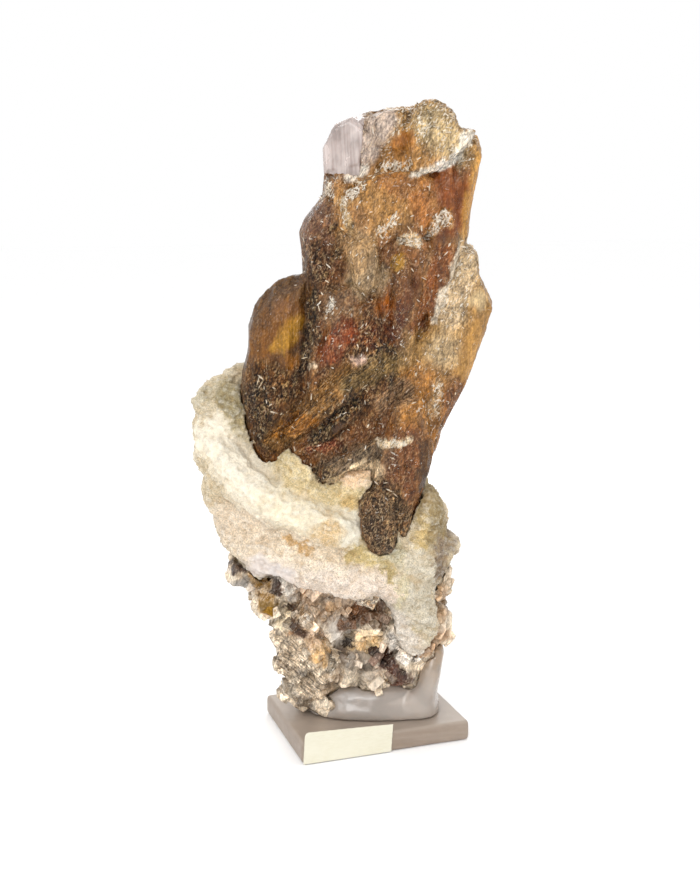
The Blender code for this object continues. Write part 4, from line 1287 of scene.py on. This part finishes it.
@dataclass(frozen=True)
class Crystals:
    """The amber crystals, with the clear block at their upper left and their lifted flakes.

    Attributes:
        voxel: The mesh's fineness, in millimetres. A finer one passes 200,000 triangles.
        window_centre: The middle of the clear block: across, deep and height, in millimetres.
        window_size: Its size that way.
        window_lean: Its turn about the deep axis, in degrees.
        flakes: How many flakes.
        flake_size: The smallest and largest scale of a flake.
        flake_floor: The height in millimetres above which there are flakes.
    """

    voxel: float = 0.61
    window_centre: tuple[float, float, float] = (-9.5, -6.0, 202.5)
    window_size: tuple[float, float, float] = (16.5, 26.0, 24.0)
    window_lean: float = 4.0
    flakes: int = 1100
    flake_size: tuple[float, float] = (0.25, 1.3)
    flake_floor: float = 78.0

    def reliefs(self) -> tuple[Relief, ...]:
        """The steps and lines of cleavage, from the coarsest to the finest."""
        return (
            Relief("blades", (5.0, 7.0, 34.0), 0.60, stepped=True, lean=4),
            Relief("laths", (1.7, 2.6, 13.0), 0.24, stepped=True, lean=-3),
            Relief("swell", (6.0, 6.0, 12.0), 0.45),
            Relief("lines", (0.9, 0.9, 15.0), 0.10),
            Relief("flakes", (3.6, 3.0, 5.5), 0.55, stepped=True, lean=30, group="flaky"),
            Relief("chips", (1.5, 1.5, 2.4), 0.32, stepped=True, lean=40, group="flaky"),
            Relief("grains", (2.4, 2.4, 3.0), 0.55, group="granular"),
            Relief("splinters", (1.5, 1.5, 3.2), 0.45, stepped=True, lean=35, group="granular"),
            Relief("fibres", (15.0, 2.0, 1.4), 0.9, lean=-40, group="fibrous"),
        )

    def window_cutter(self, grow: float) -> bpy.types.Object:
        """The block that parts the clear crystal from the rest, larger by a little all round."""
        centre = Vector(self.window_centre)
        bpy.ops.mesh.primitive_cube_add(size=1)
        cutter = bpy.context.object
        cutter.matrix_world = (
            TO_WORLD @ Matrix.Translation(centre)
            @ Matrix.Rotation(math.radians(self.window_lean), 4, "Y")
            @ Matrix.Diagonal(Vector((*(side + grow for side in self.window_size), 1)))
        )
        settle(cutter)
        return cutter

    def part(self, piece: bpy.types.Object, operation: str, grow: float) -> None:
        """Keeps what is inside the window's block, or outside it.

        Args:
            piece: The piece to cut.
            operation: INTERSECT keeps the inside, DIFFERENCE the outside.
            grow: How much larger the block is than the window, in millimetres.
        """
        cutter = self.window_cutter(grow)
        modifier = piece.modifiers.new("part", "BOOLEAN")
        modifier.operation = operation
        modifier.solver = "EXACT"
        modifier.object = cutter
        apply_modifiers(piece)
        bpy.data.objects.remove(cutter)

    def flake(self) -> bpy.types.Object:
        """One lifted flake: a thin pointed sliver, thicker along its middle."""
        bpy.ops.mesh.primitive_circle_add(vertices=5, radius=0.8 * MM, fill_type="NGON")
        flake = bpy.context.object
        bpy.ops.object.mode_set(mode="EDIT")
        bpy.ops.transform.resize(value=(0.34, 1.0, 1.0))
        bpy.ops.mesh.extrude_region_move(
            TRANSFORM_OT_translate={"value": (0.05 * MM, 0.15 * MM, 0.22 * MM)}
        )
        bpy.ops.transform.resize(value=(0.35, 0.80, 1.0))
        bpy.ops.object.mode_set(mode="OBJECT")
        return flake

    def flake_chance(self, points: np.ndarray, skins: np.ndarray) -> np.ndarray:
        """Each point's weight in the draw for a flake: most where it is flaky, and in clusters."""
        likely = skins[:, 1] ** 2 + 0.25 * skins[:, 2]
        cluster = 0.08 + wander(points, 3.5, 1.6, 4.4).clip(0, 1)
        return np.where(points[:, 2] > self.flake_floor, likely * cluster, 0)

    def build(self) -> None:
        """Makes and dresses the crystals."""
        mass = copy_of_node("selenite_crystals", "amber_crystals")
        window = copy_of_node("selenite_crystals", "clear_crystal")
        self.part(mass, "DIFFERENCE", grow=-1.4)
        self.part(window, "INTERSECT", grow=0.0)
        remesh(mass, self.voxel, smoothing=1)
        CRYSTAL_COAT.lay_on(mass)
        for relief in self.reliefs():
            raise_relief(mass, relief)
        CRYSTAL_COAT.paint_shade_highlight_and_wear(mass, depth=1.2, share=0.55)
        remesh(window, voxel=0.45, smoothing=2)
        for relief in self.reliefs()[1:4]:
            raise_relief(window, relief)
        for piece in (mass, window):
            make_active(piece)
            bpy.ops.object.shade_smooth_by_angle(angle=math.radians(38))
        flakes = scatter(
            self.flake(), "lifted_flakes", mass, self.flakes, seed=5, chance=self.flake_chance,
            sizes=self.flake_size, sink=0.10, tumble=26,
        )
        amber = BrokenCrystal(
            "amber_selenite", "#F4C268", 105.0, 0.42,
            ("#2A1A10", "#5C3A20", "#8A5426", "#3A281C", "#A9743C", "#6E4A2C", "#CDA870"),
            depth=1.16,
        ).material()
        dress(mass, amber, "selenite_crystals", "selenite_crystals")
        dress(window, ClearSelenite().material(), "selenite_crystals")
        dress(flakes, SilkyFlake().material(), "selenite_crystals")


@dataclass(frozen=True)
class Crust:
    """The earthy crust that the crystals stand in, with its mesh's fineness in millimetres."""

    voxel: float = 0.60

    def reliefs(self) -> tuple[Relief, ...]:
        """The lumps, ledges and pits, from the coarsest to the finest."""
        return (
            Relief("lumps", (7.0, 7.0, 5.0), 0.9, lean=20),
            Relief("ledges", (8.0, 5.0, 2.4), 0.45, stepped=True, lean=20, group="granular"),
            Relief("scales", (3.6, 3.0, 1.8), 0.55, stepped=True, lean=30),
            Relief("pits", (2.4, 2.4, 2.0), 0.75, group="granular"),
            Relief("crumbs", (1.2, 1.2, 1.1), 0.50),
        )

    def build(self) -> None:
        """Makes and dresses the crust."""
        crust = copy_of_node("gypsum_crust", "earthy_crust")
        remesh(crust, self.voxel, smoothing=5)
        CRUST_COAT.lay_on(crust)
        for relief in self.reliefs():
            raise_relief(crust, relief)
        CRUST_COAT.paint_shade_highlight_and_wear(crust, depth=1.0, share=0.6)
        make_active(crust)
        bpy.ops.object.shade_smooth()
        dress(crust, EarthyGypsum().material(), "gypsum_crust", "gypsum_crust")


@dataclass(frozen=True)
class Rubble:
    """The broken rock under the crust, with the small blocks on it.

    Attributes:
        voxel: The mesh's fineness, in millimetres.
        blocks: How many blocks.
        block_size: The smallest and largest scale of a block.
        block_heights: The heights in millimetres that they stand between.
    """

    voxel: float = 0.50
    blocks: int = 420
    block_size: tuple[float, float] = (0.9, 2.4)
    block_heights: tuple[float, float] = (13.0, 58.0)

    def reliefs(self) -> tuple[Relief, ...]:
        """The broken faces, from the coarsest to the finest."""
        return (
            Relief("faces", (4.2, 4.2, 3.2), 0.7, stepped=True, lean=35),
            Relief("grains", (1.6, 1.6, 1.6), 0.2),
            Relief("laths", (14.0, 2.0, 1.5), 0.5, stepped=True, lean=40, group="fibrous"),
        )

    def block(self) -> bpy.types.Object:
        """One broken block: a brick with its edges bevelled and one corner off."""
        bpy.ops.mesh.primitive_cube_add(size=1.6 * MM)
        block = bpy.context.object
        bpy.ops.object.mode_set(mode="EDIT")
        bpy.ops.mesh.select_all(action="SELECT")
        bpy.ops.transform.resize(value=(1.25, 0.85, 0.75))
        bpy.ops.mesh.bisect(plane_co=(0.5 * MM, 0.3 * MM, 0.2 * MM), plane_no=(1, 0.7, 0.8),
                            use_fill=True, clear_outer=True)
        bpy.ops.mesh.select_all(action="SELECT")
        bpy.ops.mesh.bevel(offset=0.1 * MM, segments=1)
        bpy.ops.object.mode_set(mode="OBJECT")
        return block

    def block_chance(self, points: np.ndarray, skins: np.ndarray) -> np.ndarray:
        """Each point's weight in the draw for a block: least where the rock is fibrous."""
        low, high = self.block_heights
        return np.where((points[:, 2] > low) & (points[:, 2] < high), 1.05 - skins[:, 3], 0)

    def build(self) -> None:
        """Makes and dresses the rock and its blocks."""
        rock = copy_of_node("rubble_rock", "rubble")
        remesh(rock, self.voxel, smoothing=1)
        ROCK_COAT.lay_on(rock)
        for relief in self.reliefs():
            raise_relief(rock, relief)
        ROCK_COAT.paint_shade_highlight_and_wear(rock, depth=1.6, share=0.55)
        make_active(rock)
        bpy.ops.object.shade_smooth_by_angle(angle=math.radians(30))
        blocks = scatter(
            self.block(), "small_blocks", rock, self.blocks, seed=8, chance=self.block_chance,
            sizes=self.block_size, sink=0.25, tumble=70, tone_shade_and_glint_range=(0.45, 1.75),
        )
        stone = BrokenCrystal(
            "broken_gypsum", "#EFDDC0", 30.0, 0.25,
            ("#FFF9EE", "#C2A888", "#EBDDC8", "#5C4430", "#D2BDA2", "#A57C4A", "#F4E8D6"),
            depth=1.2, striation=0.5, fibre_lean=42.0, grain_size=1.6, facet_size=3.2,
            glint_colour="#DCCBB6", variety=2.2, bump=0.4, grit=0.7,
        ).material()
        dress(rock, stone, "rubble_rock", "rubble_rock")
        dress(blocks, stone, "rubble_rock")


@dataclass(frozen=True)
class Stand:
    """The slab, the resin that holds the rock on it, and the blank label.

    Attributes:
        edge_wear: The width of the slab's worn edges, in millimetres.
        label_curl: How far the label's free corner lifts, in millimetres.
    """

    edge_wear: float = 0.9
    label_curl: float = 0.35

    def build(self) -> None:
        """Makes and dresses the stand's pieces."""
        self.build_resin()
        self.build_slab()
        self.build_label()

    def build_resin(self) -> None:
        """The mound, smoothed as a liquid levels."""
        resin = copy_of_node("setting_resin", "resin_mound")
        remesh(resin, voxel=0.6, smoothing=6)
        raise_relief(resin, Relief("ripple", (9.0, 9.0, 6.0), 0.25))
        make_active(resin)
        bpy.ops.object.shade_smooth()
        dress(resin, PouredResin().material(), "setting_resin", "setting_resin")

    def build_slab(self) -> None:
        """The slab, with worn edges that waver a little, as if rubbed down by hand."""
        low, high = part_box("stone_slab")
        bpy.ops.mesh.primitive_cube_add(size=1, location=(Vector(low) + Vector(high)) / 2,
                                        scale=Vector(high) - Vector(low))
        slab = bpy.context.object
        slab.name = slab.data.name = "plinth"
        settle(slab)
        bevel = slab.modifiers.new("worn edges", "BEVEL")
        bevel.width = self.edge_wear * MM
        bevel.segments = 4
        apply_modifiers(slab)
        remesh(slab, voxel=0.7, smoothing=3)
        raise_relief(slab, Relief("waver", (14.0, 14.0, 9.0), 0.12))
        make_active(slab)
        bpy.ops.object.shade_smooth()
        dress(slab, SawnAlabaster().material(), "stone_slab", "stone_slab")

    def build_label(self) -> None:
        """The blank label, with one rounded corner and its free corners lifting a little."""
        low, high = (Vector(corner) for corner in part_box("paper_label"))
        label = copy_of_node("paper_label", "blank_label")
        make_active(label)
        bpy.ops.object.mode_set(mode="EDIT")
        bpy.ops.mesh.select_all(action="SELECT")
        bpy.ops.mesh.dissolve_limited(angle_limit=math.radians(1))
        bpy.ops.object.mode_set(mode="OBJECT")
        remesh(label, voxel=0.14, smoothing=0)
        points = mesh_rows(label)
        right = ((points[:, 0] - low.x) / (high.x - low.x)).clip(0, 1)
        up = ((points[:, 2] - low.z) / (high.z - low.z)).clip(0, 1)
        curl = (right ** 6 + 0.5 * (1 - right) ** 8) * up ** 3
        points[:, 1] -= curl * self.label_curl * MM
        label.data.vertices.foreach_set("co", points.ravel())
        make_active(label)
        bpy.ops.object.shade_smooth_by_angle(angle=math.radians(40))
        dress(label, LabelPaper().material(), "paper_label", "paper_label")


@dataclass(frozen=True)
class Studio:
    """The floor, the light and the camera.

    Attributes:
        camera_place: The camera's place on the slab's axes, in millimetres.
        camera_down: How far it looks down, in degrees.
        camera_right: How far it looks to the right of the slab's deep axis, in degrees.
        lens: Its lens, in millimetres.
        sensor: Its sensor's width, in millimetres.
        world_strength: How strong the light all round is.
    """

    camera_place: tuple[float, float, float] = (-139.6, -390.0, 185.0)
    camera_down: float = 10.95
    camera_right: float = 18.95
    lens: float = 51.78
    sensor: float = 36.0
    world_strength: float = 1.0

    def build(self) -> None:
        """Makes the studio."""
        self.build_floor()
        self.build_light()
        self.build_camera()

    def build_floor(self) -> None:
        """A wide plain floor."""
        bpy.ops.mesh.primitive_plane_add(size=8.0)
        floor = bpy.context.object
        floor.name = "studio_floor"
        floor.data.materials.append(PlainPaint().material())

    def build_light(self) -> None:
        """Light all round, a key and a small sparkle at the upper left, a fill, and a back light."""
        world = bpy.data.worlds.new("studio")
        world.use_nodes = True
        world.node_tree.nodes["Background"].inputs["Color"].default_value = (1, 1, 1, 1)
        world.node_tree.nodes["Background"].inputs["Strength"].default_value = self.world_strength
        bpy.context.scene.world = world
        self.area("key", (-420, -520, 520), 260, 2.0)
        self.area("sparkle", (-260, -560, 420), 60, 0.45)
        self.area("fill", (520, -420, 260), 300, 0.5)
        self.area("back", (150, 520, 480), 420, 1.2)
        bpy.context.scene.view_settings.view_transform = "Standard"

    def area(self, name: str, place: tuple[float, float, float], size: float, watts: float) -> None:
        """Adds a square soft light that faces the specimen's middle.

        Args:
            name: The light's name.
            place: Its place on the slab's axes, in millimetres.
            size: The length of its side, in millimetres.
            watts: Its power.
        """
        data = bpy.data.lights.new(name, "AREA")
        data.shape = "SQUARE"
        data.size = size * MM
        data.energy = watts
        light = bpy.data.objects.new(name, data)
        light.location = Vector(place) * MM
        aim = Vector((0, 0, 100 * MM)) - light.location
        light.rotation_euler = aim.to_track_quat("-Z", "Y").to_euler()
        bpy.context.scene.collection.objects.link(light)

    def build_camera(self) -> None:
        """The camera, at the photograph's place and angle."""
        data = bpy.data.cameras.new("camera")
        data.lens = self.lens
        data.sensor_width = self.sensor
        camera = bpy.data.objects.new("camera", data)
        camera.location = Vector(self.camera_place) * MM
        camera.rotation_euler = (
            math.radians(90 - self.camera_down), 0, math.radians(-self.camera_right),
        )
        bpy.context.scene.collection.objects.link(camera)
        bpy.context.scene.camera = camera


def main() -> None:
    """Builds the whole scene."""
    logging.basicConfig(level=logging.INFO, format="%(name)s: %(message)s", stream=sys.stdout)
    Studio().build()
    Stand().build()
    Rubble().build()
    Crust().build()
    Crystals().build()


if __name__ == "__main__":
    main()
